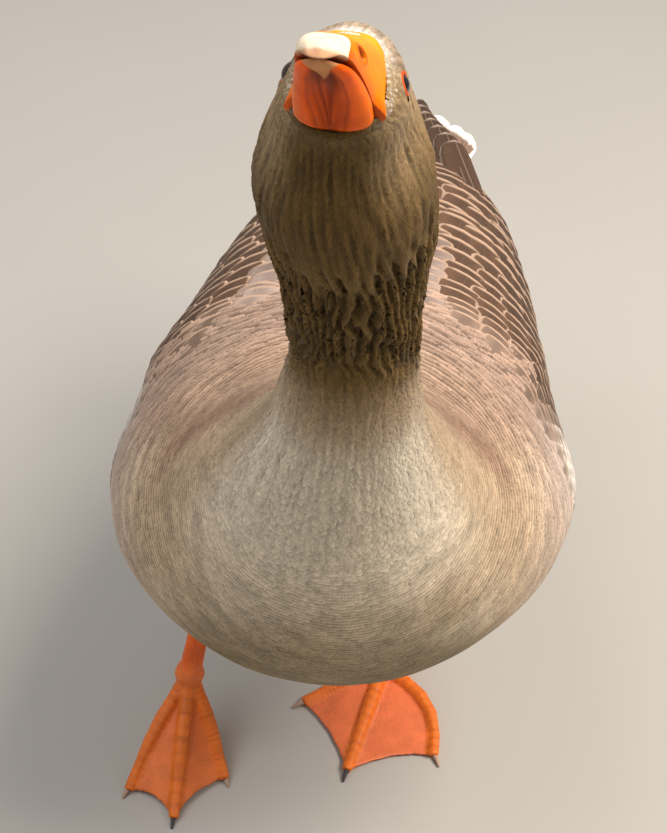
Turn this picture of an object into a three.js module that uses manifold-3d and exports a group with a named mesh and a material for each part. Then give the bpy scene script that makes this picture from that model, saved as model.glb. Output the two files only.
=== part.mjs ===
// Domestic grey goose, standing and looking up, life size.
//
// Units are millimetres, +Z is up and the goose faces -Y, with its left side at +X. The flesh is one smooth
// body, from the root of the tail through the trunk and neck to the base of the bill, parted by thin cuts.
// Wings, tail, bill, eyes, legs, feet and claws are pieces of their own that lie against it.
import * as THREE from "three";
import { ParametricGeometry } from "three/addons/geometries/ParametricGeometry.js";
import { mergeVertices } from "three/addons/utils/BufferGeometryUtils.js";
import Module from "manifold-3d";

const wasm = await Module();
wasm.setup();

const GAP = 0.3; // clear space between two pieces that touch

// ---- driving dimensions ----------------------------------------------------------------------------------

const BODY_SIDES = 24;
const RINGS_PER_STATION = { trunk: 2, neck: 2, head: 3 };

// A section of the body at each of its stations, from tail to bill. at is its centre. lean is how steeply the
// body runs up there, turn how far it turns to its right, and roll how far it leans over to its left, in
// degrees. size holds its half width, the height of the back above the centre and the depth of the belly.
const STATIONS = [
  { name: "tail root", at: [7, 286, 281], lean: -6, turn: 0, roll: 0, size: [25, 11.5, 20] },
  { name: "vent", at: [7, 256.5, 275.5], lean: -4, turn: 0, roll: 0, size: [59.5, 36, 47] },
  { name: "rump", at: [6.5, 207, 269], lean: -2, turn: 0, roll: 0, size: [81, 65, 74] },
  { name: "loin", at: [4.5, 144, 262], lean: 0, turn: 0, roll: -1, size: [98, 88, 94.5] },
  { name: "middle", at: [2.5, 72, 255.5], lean: 3, turn: 0, roll: -2, size: [112.5, 105.5, 101.5] },
  { name: "flank", at: [1, 9, 254], lean: 9, turn: 0, roll: -5, size: [128.5, 115, 102.5] },
  { name: "shoulder", at: [1, -40.5, 263.5], lean: 24, turn: 0, roll: -5, size: [128, 112.5, 100] },
  { name: "breast", at: [2.5, -70, 289], lean: 40, turn: 0, roll: -2, size: [111.5, 98, 95] },
  { name: "crop", at: [5.5, -90, 326], lean: 58, turn: 0, roll: 0, size: [85.5, 74, 80] },
  { name: "neck root", at: [11, -110, 374.5], lean: 72, turn: 0, roll: 0, size: [56, 49, 56] },
  { name: "low neck", at: [17, -131.5, 425], lean: 78, turn: 0, roll: 0, size: [38, 35, 38.5] },
  { name: "mid neck", at: [21.5, -148.5, 477], lean: 80, turn: 0, roll: 0, size: [32, 31.5, 33.5] },
  { name: "high neck", at: [22.5, -162, 526.5], lean: 80, turn: 1, roll: 1, size: [33.5, 31.5, 33.5] },
  { name: "throat", at: [21.5, -174.5, 567], lean: 76, turn: 2, roll: 1.5, size: [38.5, 34, 38] },
  { name: "cheek", at: [20.2, -187, 599.5], lean: 68, turn: 3, roll: 1.2, size: [37.5, 36, 38] },
  { name: "eye", at: [20.5, -201.5, 630], lean: 61, turn: 4, roll: 0.5, size: [28.5, 38.5, 32.5] },
  { name: "forehead", at: [22.5, -218, 650], lean: 57, turn: 5, roll: 0.5, size: [24.6, 33.5, 21.5] },
  { name: "bill base", at: [22.7, -228, 659], lean: 56, turn: 5, roll: 0.5, size: [19.5, 25, 18] },
];
const LAST = STATIONS.length - 1;

// The stations where the body is parted.
const CUTS = { neckRoot: 9.35, neckLow: 10.9, neckHigh: 12.4, head: 13.6 };

const FLANK = { lift: 13.5, y: 5.5, z: 236, long: 56, high: 47 }; // side feathers that cover the wing's bend

// The folded wing lies on the trunk between these stations, and between these angles in front and behind.
const WING = { from: 5.15, to: 0.75, bend: 1.2, low: [-4, 12], high: [72, 87], thick: 9, rim: 2, sunk: 2.5 };
const WING_STEPS = { across: 8, along: 12 };
const QUILLS = { centre: 6, root: [50, 190, 321], tip: [13, 366, 295], half: 19, thick: 8 };
const TAIL = { root: [4, 240, 284], length: 148, rootHalf: 36, tipHalf: 65, round: 23, droop: 8 };
const TAIL_THICK = { root: 26, edge: 3 };

// The bill starts at the body's last station. The corner of the mouth lies below the middle of that section.
const BILL = { gape: 7, length: 51, half: 20, height: 31.5, depth: 11.5, tipHalf: 10, nail: 14.5 };
const EYE = { station: 15.9, degrees: 19, radius: 5.9, bulge: 1.1 };

const SHANK = { half: 6.8, deep: 8.3, hock: 10.3, ankle: 7.6 };
const THIGH = { radius: 40, deeper: 1.2 };
const TOE = { rootRadius: 5.6, tipRadius: 3.2, claw: 9, clawRadius: 2.4, web: 1.5, hollow: 0.07 };

// Each leg's ankle over the roots of its toes, its hock and its hip, the tip of each front claw with how far
// that toe bows sideways, and the tip of the hind toe.
const LEGS = {
  left: {
    ankle: [23.5, 68.5, 8], hock: [36, 108, 79], hip: [52, 52, 205],
    toes: { inner: [-37, 29, 2, -3.5], middle: [5.5, -31.5, 2, 0], outer: [69.5, -11.5, 2, 29] },
    hind: [39.5, 86.5, 6.5],
  },
  right: {
    ankle: [-103.5, 6.5, 56], hock: [-89, 36, 129.5], hip: [-64, 30, 215],
    toes: { inner: [-71, -44, 1.2, 4.5], middle: [-103.5, -82, 1.2, 0], outer: [-141, -61, 1.2, -6.5] },
    hind: [-109, 30.5, 38],
  },
};
const TOE_NAMES = ["inner", "middle", "outer"];

const COLOURS = {
  plumage: 0x9d8b78, wing: 0x76614f, tail: 0x7d6c5e, bill: 0xe8761a, nail: 0xeed9c4, eye: 0x2a1a12,
  leg: 0xe8641c, claw: 0x6b5f5a,
};

// ---- solids ----------------------------------------------------------------------------------------------

const vec = (p) => new THREE.Vector3(...p);
const radians = THREE.MathUtils.degToRad;
const mix = THREE.MathUtils.lerp;
const smooth = THREE.MathUtils.smoothstep;

// A closed three.js geometry as a manifold solid, without the faces that its poles collapse.
function solid(geometry) {
  const bare = geometry.clone();
  bare.deleteAttribute("normal");
  bare.deleteAttribute("uv");
  const merged = mergeVertices(bare, 1e-3);
  const kept = [];
  for (let i = 0; i < merged.index.count; i += 3) {
    const [a, b, c] = [0, 1, 2].map((k) => merged.index.getX(i + k));
    if (a !== b && b !== c && a !== c) kept.push(a, b, c);
  }
  const vertProperties = merged.attributes.position.array;
  const made = (faces) => new wasm.Manifold(
    new wasm.Mesh({ numProp: 3, vertProperties, triVerts: new Uint32Array(faces) }),
  );
  const body = made(kept);
  if (body.volume() > 0) return body;
  for (let i = 0; i < kept.length; i += 3) [kept[i + 1], kept[i + 2]] = [kept[i + 2], kept[i + 1]];
  return made(kept);
}

function geometryOf(body) {
  const { vertProperties, triVerts } = body.getMesh();
  const geometry = new THREE.BufferGeometry();
  geometry.setAttribute("position", new THREE.BufferAttribute(new Float32Array(vertProperties), 3));
  geometry.setIndex(new THREE.BufferAttribute(new Uint32Array(triVerts), 1));
  geometry.computeVertexNormals();
  return geometry;
}

// A tube of closed rings with flat ends. ring(turn, along) gives a point, with both from 0 to 1.
function tube(ring, sides, rows) {
  const ends = [0, 1].map((along) => {
    const middle = new THREE.Vector3();
    for (let i = 0; i < sides; i++) middle.addScaledVector(ring(i / sides, along), 1 / sides);
    return middle;
  });
  const stacks = rows + 2;
  return solid(new ParametricGeometry((u, v, target) => {
    const row = Math.round(v * stacks);
    if (row === 0 || row === stacks) return target.copy(ends[row ? 1 : 0]);
    return target.copy(ring(u === 1 ? 0 : u, (row - 1) / rows));
  }, sides, stacks));
}

// A plate with a blunt rim, between two faces low(a, b) and high(a, b), where a runs across and b along it.
function plate(low, high, across, along) {
  const slices = 2 * across + 4;
  const stacks = along + 2;
  return solid(new ParametricGeometry((u, v, target) => {
    const step = Math.round(u * slices) % slices;
    const row = Math.round(v * stacks);
    const b = THREE.MathUtils.clamp((row - 1) / along, 0, 1);
    const rim = step === 0 || step === across + 2;
    const under = step > across + 2;
    const a = under ? (slices - 1 - step) / across : THREE.MathUtils.clamp((step - 1) / across, 0, 1);
    if (rim || row === 0 || row === stacks) return target.copy(low(a, b)).lerp(high(a, b), 0.5);
    return target.copy(under ? low(a, b) : high(a, b));
  }, slices, stacks));
}

// A round or oval rod through points. radii(along) gives its radius, and grow makes it larger all round.
function rod(points, radii, sides, rows, flat = 1, grow = 0) {
  const path = new THREE.CatmullRomCurve3(points.map(vec));
  return tube((turn, along) => {
    const ahead = path.getTangent(along);
    const side = new THREE.Vector3(0, 0, 1).cross(ahead).normalize();
    const top = ahead.clone().cross(side);
    const radius = radii(along);
    const end = along === 0 ? -grow : along === 1 ? grow : 0;
    return path.getPoint(along)
      .addScaledVector(ahead, end)
      .addScaledVector(side, (radius + grow) * Math.cos(2 * Math.PI * turn))
      .addScaledVector(top, (radius * flat + grow) * Math.sin(2 * Math.PI * turn));
  }, sides, rows);
}

const ball = (radius, at, wide = 12, high = 7) =>
  solid(new THREE.SphereGeometry(radius, wide, high).translate(...at));

// Everything at or above the floor, and nothing under it.
const floorBlock = solid(new THREE.BoxGeometry(900, 1200, 100).translate(0, 0, -50));
const grounded = (body) => body.subtract(floorBlock);

// ---- body ------------------------------------------------------------------------------------------------

const spline = (pick) => new THREE.CatmullRomCurve3(STATIONS.map((s) => new THREE.Vector3(...pick(s))));
const centres = spline((s) => s.at);
const sizes = spline((s) => s.size);
const turns = spline((s) => [s.lean, s.turn, s.roll]);

// The axes of a piece that leans up, turns to its right and rolls to its left: ahead, to its left, and back.
function axes(lean, turn, roll) {
  const heading = new THREE.Vector3(-Math.sin(radians(turn)), -Math.cos(radians(turn)), 0);
  const ahead = heading.clone().multiplyScalar(Math.cos(radians(lean))).setZ(Math.sin(radians(lean)));
  const back = heading.multiplyScalar(-Math.sin(radians(lean))).setZ(Math.cos(radians(lean)));
  back.applyAxisAngle(ahead, -radians(roll));
  return { ahead, back, left: back.clone().cross(ahead) };
}

function frameAt(station) {
  const turn = turns.getPoint(station / LAST);
  return { at: centres.getPoint(station / LAST), ...axes(turn.x, turn.y, turn.z) };
}

// A point of the body's surface. The angle runs from the left side, 0, over the back, 90, to the belly, 270.
function bodyPoint(station, degrees, lift = 0) {
  const { at, back, left } = frameAt(station);
  const size = sizes.getPoint(station / LAST);
  const x = Math.cos(radians(degrees)) * size.x;
  const z = Math.sin(radians(degrees)) * (Math.sin(radians(degrees)) > 0 ? size.y : size.z);
  const out = left.clone().multiplyScalar(x).addScaledVector(back, z);
  const point = at.clone().add(out);
  const flank = FLANK.lift * Math.exp(
    -(((point.y - FLANK.y) / FLANK.long) ** 2) - ((point.z - FLANK.z) / FLANK.high) ** 2,
  ) * Math.abs(Math.cos(radians(degrees)));
  return point.addScaledVector(out.normalize(), lift + flank);
}

// The length of the body between two stations, with rings at its ends and at each even share of a station.
function bodyLength(from, to, perStation, lift = 0) {
  const stops = [from];
  for (let n = Math.floor(from * perStation) + 1; n < to * perStation; n++) stops.push(n / perStation);
  stops.push(to);
  const rows = stops.length - 1;
  const ring = (turn, along) => bodyPoint(stops[Math.round(along * rows)], 360 * turn, lift);
  return tube(ring, BODY_SIDES, rows);
}

// The two sides of a cut across the body, a gap apart.
const halfCut = (GAP * LAST) / centres.getLength() / 2;
const cut = (station) => [station - halfCut, station + halfCut];

const trunkCutter = bodyLength(0, CUTS.neckRoot, RINGS_PER_STATION.trunk, GAP);

// ---- wings and tail --------------------------------------------------------------------------------------

// The folded wing is a plate on the trunk, thickest in its middle. side is 1 for left and -1 for right.
function wing(side) {
  const face = (a, b, lift) => {
    const degrees = mix(mix(WING.low[0], WING.low[1], b), mix(WING.high[0], WING.high[1], b), a);
    const front = WING.from - WING.bend * (a - 0.4) ** 2;
    return bodyPoint(mix(front, WING.to, b), side > 0 ? degrees : 180 - degrees, lift);
  };
  const crown = (a) => Math.sqrt(Math.sin(Math.PI * mix(0.06, 0.94, a)));
  const swell = (a, b) => crown(a) * mix(0.55, 1, smooth(b, 0, 0.25));
  const body = plate(
    (a, b) => face(a, b, -WING.sunk),
    (a, b) => face(a, b, WING.rim + WING.thick * swell(a, b)),
    WING_STEPS.across, WING_STEPS.along,
  );
  return body.add(quills(side)).subtract(trunkCutter);
}

// The flight quills: a long blade that runs back over the rump from under the wing's hind edge.
function quills(side) {
  const from = vec(QUILLS.root);
  const to = vec(QUILLS.tip);
  const face = (a, b, up) => {
    const half = QUILLS.half * Math.sqrt(Math.max(0.02, 1 - b ** 4)) * mix(1.25, 0.8, b);
    const point = from.clone().lerp(to, b);
    const out = mix(-half, half, a);
    const height = point.z + up - 0.0065 * out * out;
    return new THREE.Vector3(QUILLS.centre + side * (point.x + out), point.y + 0.3 * out, height);
  };
  const thick = (a, b) => mix(QUILLS.thick, 2.5, b) * (1 - 0.5 * (2 * a - 1) ** 2);
  return plate((a, b) => face(a, b, 0), (a, b) => face(a, b, thick(a, b)), 5, 6);
}

// The tail is a rounded fan, arched across, that droops a little.
function tail() {
  const face = (a, b, up) => {
    const share = 2 * a - 1;
    const half = mix(TAIL.rootHalf, TAIL.tipHalf, b);
    const reach = (TAIL.length - TAIL.round * share * share) * b;
    const arch = 0.16 * half * share * share;
    const [x, y, z] = TAIL.root;
    return new THREE.Vector3(x + share * half, y + reach, z - TAIL.droop * b * b - arch + up);
  };
  const thick = (b) => mix(TAIL_THICK.root, TAIL_THICK.edge, Math.sqrt(b));
  return plate((a, b) => face(a, b, -thick(b) / 2), (a, b) => face(a, b, thick(b) / 2), 8, 5);
}

// ---- head ------------------------------------------------------------------------------------------------

const billBase = frameAt(LAST);

// A point in the bill's own axes, measured from the middle of the mouth's corners.
const inBill = (left, ahead, up) => billBase.at.clone()
  .addScaledVector(billBase.left, left)
  .addScaledVector(billBase.ahead, ahead + GAP)
  .addScaledVector(billBase.back, up - BILL.gape);

// Half of the bill's width, and the line where its two halves meet, along its length from 0 to 1.
const rounded = (s, power) => Math.sqrt(Math.max(0.04, 1 - s ** power));
const billHalf = (s) => mix(BILL.half, BILL.tipHalf + 3, Math.sqrt(s)) * rounded(s, 7);
const mouthLine = (s) => 2.9 * Math.sin(Math.PI * s) - 1.4 * s;
const culmen = (s) => mix(BILL.height, 5.6, Math.pow(s, 0.72)) * rounded(s, 9);

// A rounded box of a section: with a low power its corners fill out.
const boxed = (value, power) => Math.sign(value) * Math.abs(value) ** power;

function billUpper() {
  return tube((turn, along) => {
    const angle = 2 * Math.PI * turn;
    const wide = boxed(Math.cos(angle), 0.7) * billHalf(along);
    const high = Math.sin(angle) > 0 ? boxed(Math.sin(angle), 0.8) * culmen(along) : Math.sin(angle) * 1.2;
    return inBill(wide, along * BILL.length, mouthLine(along) + 1.5 + high);
  }, 18, 8);
}

function billLower() {
  const deep = (s) => mix(BILL.depth, 2.9, Math.pow(s, 1.1)) * rounded(s, 6);
  return tube((turn, along) => {
    const angle = 2 * Math.PI * turn;
    const wide = boxed(Math.cos(angle), 0.8) * (billHalf(along) - 2.5);
    const high = Math.sin(angle) > 0 ? Math.sin(angle) * 0.8 : boxed(Math.sin(angle), 0.8) * deep(along);
    return inBill(wide, along * BILL.length * 0.95, mouthLine(along) - 1.4 + high);
  }, 16, 8);
}

// The nail's block takes the front of the upper bill's tip, and the rest stays with the bill.
function nailBlock(lift) {
  const reach = BILL.nail + lift;
  const radius = BILL.tipHalf - 1.2 + lift;
  return solid(new THREE.CylinderGeometry(radius, radius, 60, 16)
    .scale(1, 1, reach / radius)
    .rotateX(Math.PI / 2)
    .applyMatrix4(new THREE.Matrix4().makeBasis(billBase.left, billBase.ahead, billBase.back))
    .translate(...inBill(0, BILL.length + 1, 10).toArray()));
}

const eyeAt = (side) => bodyPoint(
  EYE.station, side > 0 ? EYE.degrees : 180 - EYE.degrees, EYE.bulge - EYE.radius,
);

// ---- legs ------------------------------------------------------------------------------------------------

function shank(leg, grow = 0) {
  const { ankle, hock } = leg;
  const low = (s) => mix(SHANK.ankle, SHANK.half, smooth(s, 0, 0.28));
  const high = (s) => (SHANK.hock - SHANK.half) * smooth(s, 0.72, 1);
  const middle = vec(ankle).lerp(vec(hock), 0.5).add(new THREE.Vector3(0, -1.5, 0)).toArray();
  return rod([ankle, middle, hock], (s) => low(s) + high(s), 10, 7, SHANK.deep / SHANK.half, grow);
}

// The feathered thigh, from the hock up into the trunk, which is cut out of it.
function thigh(leg) {
  const { hock, hip } = leg;
  const knee = vec(hock).lerp(vec(hip), 0.45).add(new THREE.Vector3(0, -3, 0)).toArray();
  const radius = (s) => mix(SHANK.hock + 1, THIGH.radius, Math.pow(s, 1.15));
  const body = rod([hock, knee, hip], radius, 14, 6, THIGH.deeper);
  return body.subtract(trunkCutter).subtract(shank(leg, GAP));
}

// A toe's middle line, from the ankle to the root of its claw, bowed sideways.
function toeLine(leg, name) {
  const [x, y, z, bow] = leg.toes[name];
  const from = vec(leg.ankle).setZ(leg.ankle[2] - 2);
  const tip = new THREE.Vector3(x, y, z);
  const run = tip.clone().sub(from);
  const sideways = new THREE.Vector3(-run.y, run.x, 0).normalize();
  const end = tip.clone().addScaledVector(run.clone().normalize(), -TOE.claw).setZ(z + 0.6);
  const height = mix(from.z, end.z, 0.5) + 0.6;
  const middle = from.clone().lerp(end, 0.5).addScaledVector(sideways, bow).setZ(height);
  return new THREE.QuadraticBezierCurve3(from, middle, end);
}

const knuckles = (s) => 1 + 0.13 * Math.cos(6 * Math.PI * s);

function toe(leg, name, grow) {
  const line = toeLine(leg, name);
  const points = [0, 0.25, 0.5, 0.75, 1].map((s) => line.getPoint(s).toArray());
  return rod(points, (s) => mix(TOE.rootRadius, TOE.tipRadius, s) * knuckles(s), 7, 5, 0.92, grow);
}

// The web spans two toes, with a hollow front edge.
function web(leg, one, other, grow) {
  const first = toeLine(leg, one);
  const second = toeLine(leg, other);
  const face = (a, b, up) => {
    const reach = b * (1 - TOE.hollow * Math.sin(Math.PI * a));
    const point = first.getPoint(Math.max(0.06, reach)).lerp(second.getPoint(Math.max(0.06, reach)), a);
    return point.setZ(point.z - 1.1 + up - 0.6 * Math.sin(Math.PI * a));
  };
  return plate((a, b) => face(a, b, -grow), (a, b) => face(a, b, TOE.web + grow), 4, 5);
}

function hindToe(leg, grow) {
  const root = vec(leg.ankle).lerp(vec(leg.hock), 0.14).toArray();
  const middle = vec(root).lerp(vec(leg.hind), 0.55).add(new THREE.Vector3(0, 0, 2)).toArray();
  return rod([root, middle, leg.hind], (s) => mix(4.6, 2.9, s), 7, 3, 1, grow);
}

function foot(leg, grow = 0) {
  const pieces = [
    ...TOE_NAMES.map((name) => toe(leg, name, grow)),
    web(leg, "inner", "middle", grow),
    web(leg, "middle", "outer", grow),
    ball(SHANK.ankle + 3 + grow, leg.ankle, 10, 6),
    hindToe(leg, grow),
  ];
  return grounded(pieces.reduce((sum, piece) => sum.add(piece)));
}

// A claw goes on from the end of its toe to a blunt point.
function claw(leg, name) {
  const [x, y, z] = leg.toes[name];
  const from = toeLine(leg, name).getPoint(0.97);
  const to = new THREE.Vector3(x, y, z - 1);
  const middle = from.clone().lerp(to, 0.5).add(new THREE.Vector3(0, 0, 0.9));
  const points = [from, middle, to].map((point) => point.toArray());
  return grounded(rod(points, (s) => mix(TOE.clawRadius, 0.9, s), 7, 4)).subtract(foot(leg, GAP));
}

// ---- the goose -------------------------------------------------------------------------------------------

const goose = new THREE.Group();

function add(name, body, colour, roughness = 0.8) {
  const material = new THREE.MeshStandardMaterial({ color: COLOURS[colour], roughness, metalness: 0 });
  const mesh = new THREE.Mesh(geometryOf(body), material);
  mesh.name = name;
  goose.add(mesh);
  return body;
}

const [trunkEnd, lowStart] = cut(CUTS.neckRoot);
const [lowEnd, midStart] = cut(CUTS.neckLow);
const [midEnd, highStart] = cut(CUTS.neckHigh);
const [highEnd, headStart] = cut(CUTS.head);

const sockets = [1, -1].map((side) => ball(EYE.radius + GAP, eyeAt(side).toArray()));
const headBlock = bodyLength(headStart, LAST, RINGS_PER_STATION.head);
const wholeBill = billUpper();

add("trunk", bodyLength(0, trunkEnd, RINGS_PER_STATION.trunk), "plumage");
add("neck_lower", bodyLength(lowStart, lowEnd, RINGS_PER_STATION.neck), "plumage");
add("neck_middle", bodyLength(midStart, midEnd, RINGS_PER_STATION.neck), "plumage");
add("neck_upper", bodyLength(highStart, highEnd, RINGS_PER_STATION.neck), "plumage");
add("head", headBlock.subtract(sockets[0]).subtract(sockets[1]), "plumage");

add("bill_upper", wholeBill.subtract(nailBlock(GAP)), "bill", 0.45);
add("bill_nail", wholeBill.intersect(nailBlock(0)), "nail", 0.4);
add("bill_lower", billLower(), "bill", 0.45);
add("tail", tail().subtract(trunkCutter), "tail");

for (const [side, sign] of [["left", 1], ["right", -1]]) {
  const leg = LEGS[side];
  add(`eye_${side}`, ball(EYE.radius, eyeAt(sign).toArray()), "eye", 0.1);
  add(`wing_${side}`, wing(sign), "wing");
  add(`thigh_${side}`, thigh(leg), "plumage");
  add(`shank_${side}`, shank(leg).subtract(foot(leg, GAP)), "leg", 0.55);
  add(`foot_${side}`, foot(leg), "leg", 0.55);
  for (const name of TOE_NAMES) add(`claw_${side}_${name}`, claw(leg, name), "claw", 0.4);
}

// The goose stands with the middle of its box over the origin.
const middle = new THREE.Box3().setFromObject(goose).getCenter(new THREE.Vector3());
goose.position.set(-middle.x, -middle.y, 0);

export default goose;
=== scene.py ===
import math

import bmesh
import bpy
import numpy as np
from mathutils import Matrix, Vector
from mathutils.kdtree import KDTree


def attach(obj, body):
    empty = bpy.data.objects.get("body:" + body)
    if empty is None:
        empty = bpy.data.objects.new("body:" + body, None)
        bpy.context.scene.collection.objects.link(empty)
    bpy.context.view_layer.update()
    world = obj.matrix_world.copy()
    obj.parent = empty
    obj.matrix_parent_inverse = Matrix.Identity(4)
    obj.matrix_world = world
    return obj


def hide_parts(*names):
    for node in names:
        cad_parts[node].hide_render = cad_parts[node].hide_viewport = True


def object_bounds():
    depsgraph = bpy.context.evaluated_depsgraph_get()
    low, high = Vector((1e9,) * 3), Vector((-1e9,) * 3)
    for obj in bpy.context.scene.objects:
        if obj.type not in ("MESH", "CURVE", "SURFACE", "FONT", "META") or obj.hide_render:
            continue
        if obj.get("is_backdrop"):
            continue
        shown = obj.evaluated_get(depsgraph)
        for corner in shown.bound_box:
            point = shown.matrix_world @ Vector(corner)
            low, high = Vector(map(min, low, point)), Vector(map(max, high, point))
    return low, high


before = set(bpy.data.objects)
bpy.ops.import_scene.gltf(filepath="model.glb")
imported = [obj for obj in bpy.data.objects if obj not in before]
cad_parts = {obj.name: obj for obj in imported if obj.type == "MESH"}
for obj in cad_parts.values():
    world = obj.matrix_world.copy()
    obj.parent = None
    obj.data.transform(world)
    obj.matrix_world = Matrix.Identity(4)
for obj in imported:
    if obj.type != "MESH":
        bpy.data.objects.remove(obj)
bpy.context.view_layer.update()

# ---- Camera -----------------------------------------------------------------------------------------------
# A person who bends over the goose from just in front looks steeply down on its lifted bill. The lens is
# a short telephoto.

CAMERA_PLACE = (0.0858, -0.8767, 1.017)
CAMERA_TURN = 6.3
CAMERA_DOWN = 41.1
CAMERA_LENS = 80.25


def facing(turn, down):
    """The direction of a look turned left of straight back and tilted down, both in degrees."""
    turn, down = math.radians(turn), math.radians(down)
    return Vector((-math.sin(turn) * math.cos(down), math.cos(turn) * math.cos(down), -math.sin(down)))


camera = bpy.data.objects.new("camera", bpy.data.cameras.new("camera"))
bpy.context.scene.collection.objects.link(camera)
camera.location = CAMERA_PLACE
camera.rotation_mode = "QUATERNION"
camera.rotation_quaternion = facing(CAMERA_TURN, CAMERA_DOWN).to_track_quat("-Z", "Y")
camera.data.lens = CAMERA_LENS
camera.data.sensor_width = 36
camera.data.clip_start = 0.05
bpy.context.scene.camera = camera

# ---- Floor and light --------------------------------------------------------------------------------------
# A plain pale matt floor, and soft studio light: a large lamp high on the goose's left, a weak one
# high on its right, and pale light from all round.

FLOOR_SIZE = 16
LAMPS = (
    # place, size across, watts, colour
    ((1.25, -0.1, 2.2), 1.4, 84, "#fff5ea"),
    ((-0.95, -0.25, 2.4), 1.6, 28, "#f4f2f4"),
)
LAMPS_AIM = (0, -0.02, 0.3)
ROUND_COLOUR = "#f2f1ee"
ROUND_LIGHT = 0.35


def linear(colour):
    """An sRGB hex colour as the linear colour that a shader takes, with full alpha."""
    parts = [int(colour[i : i + 2], 16) / 255 for i in (1, 3, 5)]
    return tuple(c / 12.92 if c <= 0.04045 else ((c + 0.055) / 1.055) ** 2.4 for c in parts) + (1.0,)


def add_node(tree, kind, settings=None, **inputs):
    """Adds a shader node. Inputs are values, or sockets or nodes that are linked to it."""
    made = tree.nodes.new("ShaderNode" + kind)
    for name, value in (settings or {}).items():
        setattr(made, name, value)
    for name, value in inputs.items():
        key = int(name[1:]) if name[0] == "_" else name.replace("_", " ")
        if isinstance(value, bpy.types.Node):
            value = value.outputs[0]
        if isinstance(value, bpy.types.NodeSocket):
            tree.links.new(value, made.inputs[key])
        else:
            made.inputs[key].default_value = value
    return made


def new_material(name):
    """An empty material and its nodes."""
    made = bpy.data.materials.new(name)
    made.use_nodes = True
    made.node_tree.nodes.clear()
    return made, made.node_tree


def set_surface(tree, **inputs):
    """Ends a material with a Principled shader that takes these inputs."""
    add_node(tree, "OutputMaterial", Surface=add_node(tree, "BsdfPrincipled", **inputs))


# Matt painted board: an even pale grey with a faint mottle, so that it isn't a flat tone.
board, tree = new_material("painted_board")
place = add_node(tree, "TexCoord").outputs["Object"]
mottle = add_node(tree, "TexNoise", Vector=place, Scale=3.0, Detail=3.0)
tone = add_node(tree, "ValToRGB", Fac=mottle)
for element, colour in zip(tone.color_ramp.elements, ("#b0ada7", "#b7b4ae")):
    element.color = linear(colour)
set_surface(tree, Base_Color=tone, Roughness=0.9)

shape = bmesh.new()
bmesh.ops.create_grid(shape, x_segments=1, y_segments=1, size=FLOOR_SIZE / 2)
floor_mesh = bpy.data.meshes.new("floor")
shape.to_mesh(floor_mesh)
shape.free()
floor = bpy.data.objects.new("floor", floor_mesh)
bpy.context.scene.collection.objects.link(floor)
floor_mesh.materials.append(board)
floor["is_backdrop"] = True

for number, (place, size, watts, colour) in enumerate(LAMPS):
    lamp = bpy.data.lights.new(f"lamp_{number}", "AREA")
    lamp.size = size
    lamp.energy = watts
    lamp.color = linear(colour)[:3]
    lamp_object = bpy.data.objects.new(lamp.name, lamp)
    lamp_object.location = place
    lamp_object.rotation_euler = (Vector(LAMPS_AIM) - Vector(place)).to_track_quat("-Z", "Y").to_euler()
    bpy.context.scene.collection.objects.link(lamp_object)

world = bpy.data.worlds.new("studio")
world.use_nodes = True
all_round = world.node_tree.nodes["Background"].inputs
all_round["Color"].default_value = linear(ROUND_COLOUR)
all_round["Strength"].default_value = ROUND_LIGHT
bpy.context.scene.world = world
bpy.context.scene.view_settings.view_transform = "Standard"

# ---- The body's form --------------------------------------------------------------------------------------
# Body, neck and head are one run of oval rings, from the tail's root at station 0 to the bill's base at
# station 17. A feather's place is its station, and its angle from the left side over the back.

MM = 0.001
STATIONS = (
    # place in mm; lean up, turn right and roll left in degrees; half width, to the back, to the belly
    ((7, 286, 281), (-6, 0, 0), (25, 11.5, 20)),
    ((7, 256.5, 275.5), (-4, 0, 0), (59.5, 36, 47)),
    ((6.5, 207, 269), (-2, 0, 0), (81, 65, 74)),
    ((4.5, 144, 262), (0, 0, -1), (98, 88, 94.5)),
    ((2.5, 72, 255.5), (3, 0, -2), (112.5, 105.5, 101.5)),
    ((1, 9, 254), (9, 0, -5), (128.5, 115, 102.5)),
    ((1, -40.5, 263.5), (24, 0, -5), (128, 112.5, 100)),
    ((2.5, -70, 289), (40, 0, -2), (111.5, 98, 95)),
    ((5.5, -90, 326), (58, 0, 0), (85.5, 74, 80)),
    ((11, -110, 374.5), (72, 0, 0), (56, 49, 56)),
    ((17, -131.5, 425), (78, 0, 0), (38, 35, 38.5)),
    ((21.5, -148.5, 477), (80, 0, 0), (32, 31.5, 33.5)),
    ((22.5, -162, 526.5), (80, 1, 1), (33.5, 31.5, 33.5)),
    ((21.5, -174.5, 567), (76, 2, 1.5), (38.5, 34, 38)),
    ((20.2, -187, 599.5), (68, 3, 1.2), (37.5, 36, 38)),
    ((20.5, -201.5, 630), (61, 4, 0.5), (28.5, 38.5, 32.5)),
    ((22.5, -218, 650), (57, 5, 0.5), (24.6, 33.5, 21.5)),
    ((22.7, -228, 659), (56, 5, 0.5), (19.5, 25, 18)),
)
LAST = len(STATIONS) - 1
OVER_ORIGIN = np.array((0.3286, -62.1772, 0))
FLANK = dict(lift=13.5, y=5.5, z=236, long=56, high=47)
WING = dict(front=5.15, back=0.75, bend=1.2, low=(-4, 12), high=(72, 87), thick=9, rim=2)


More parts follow.
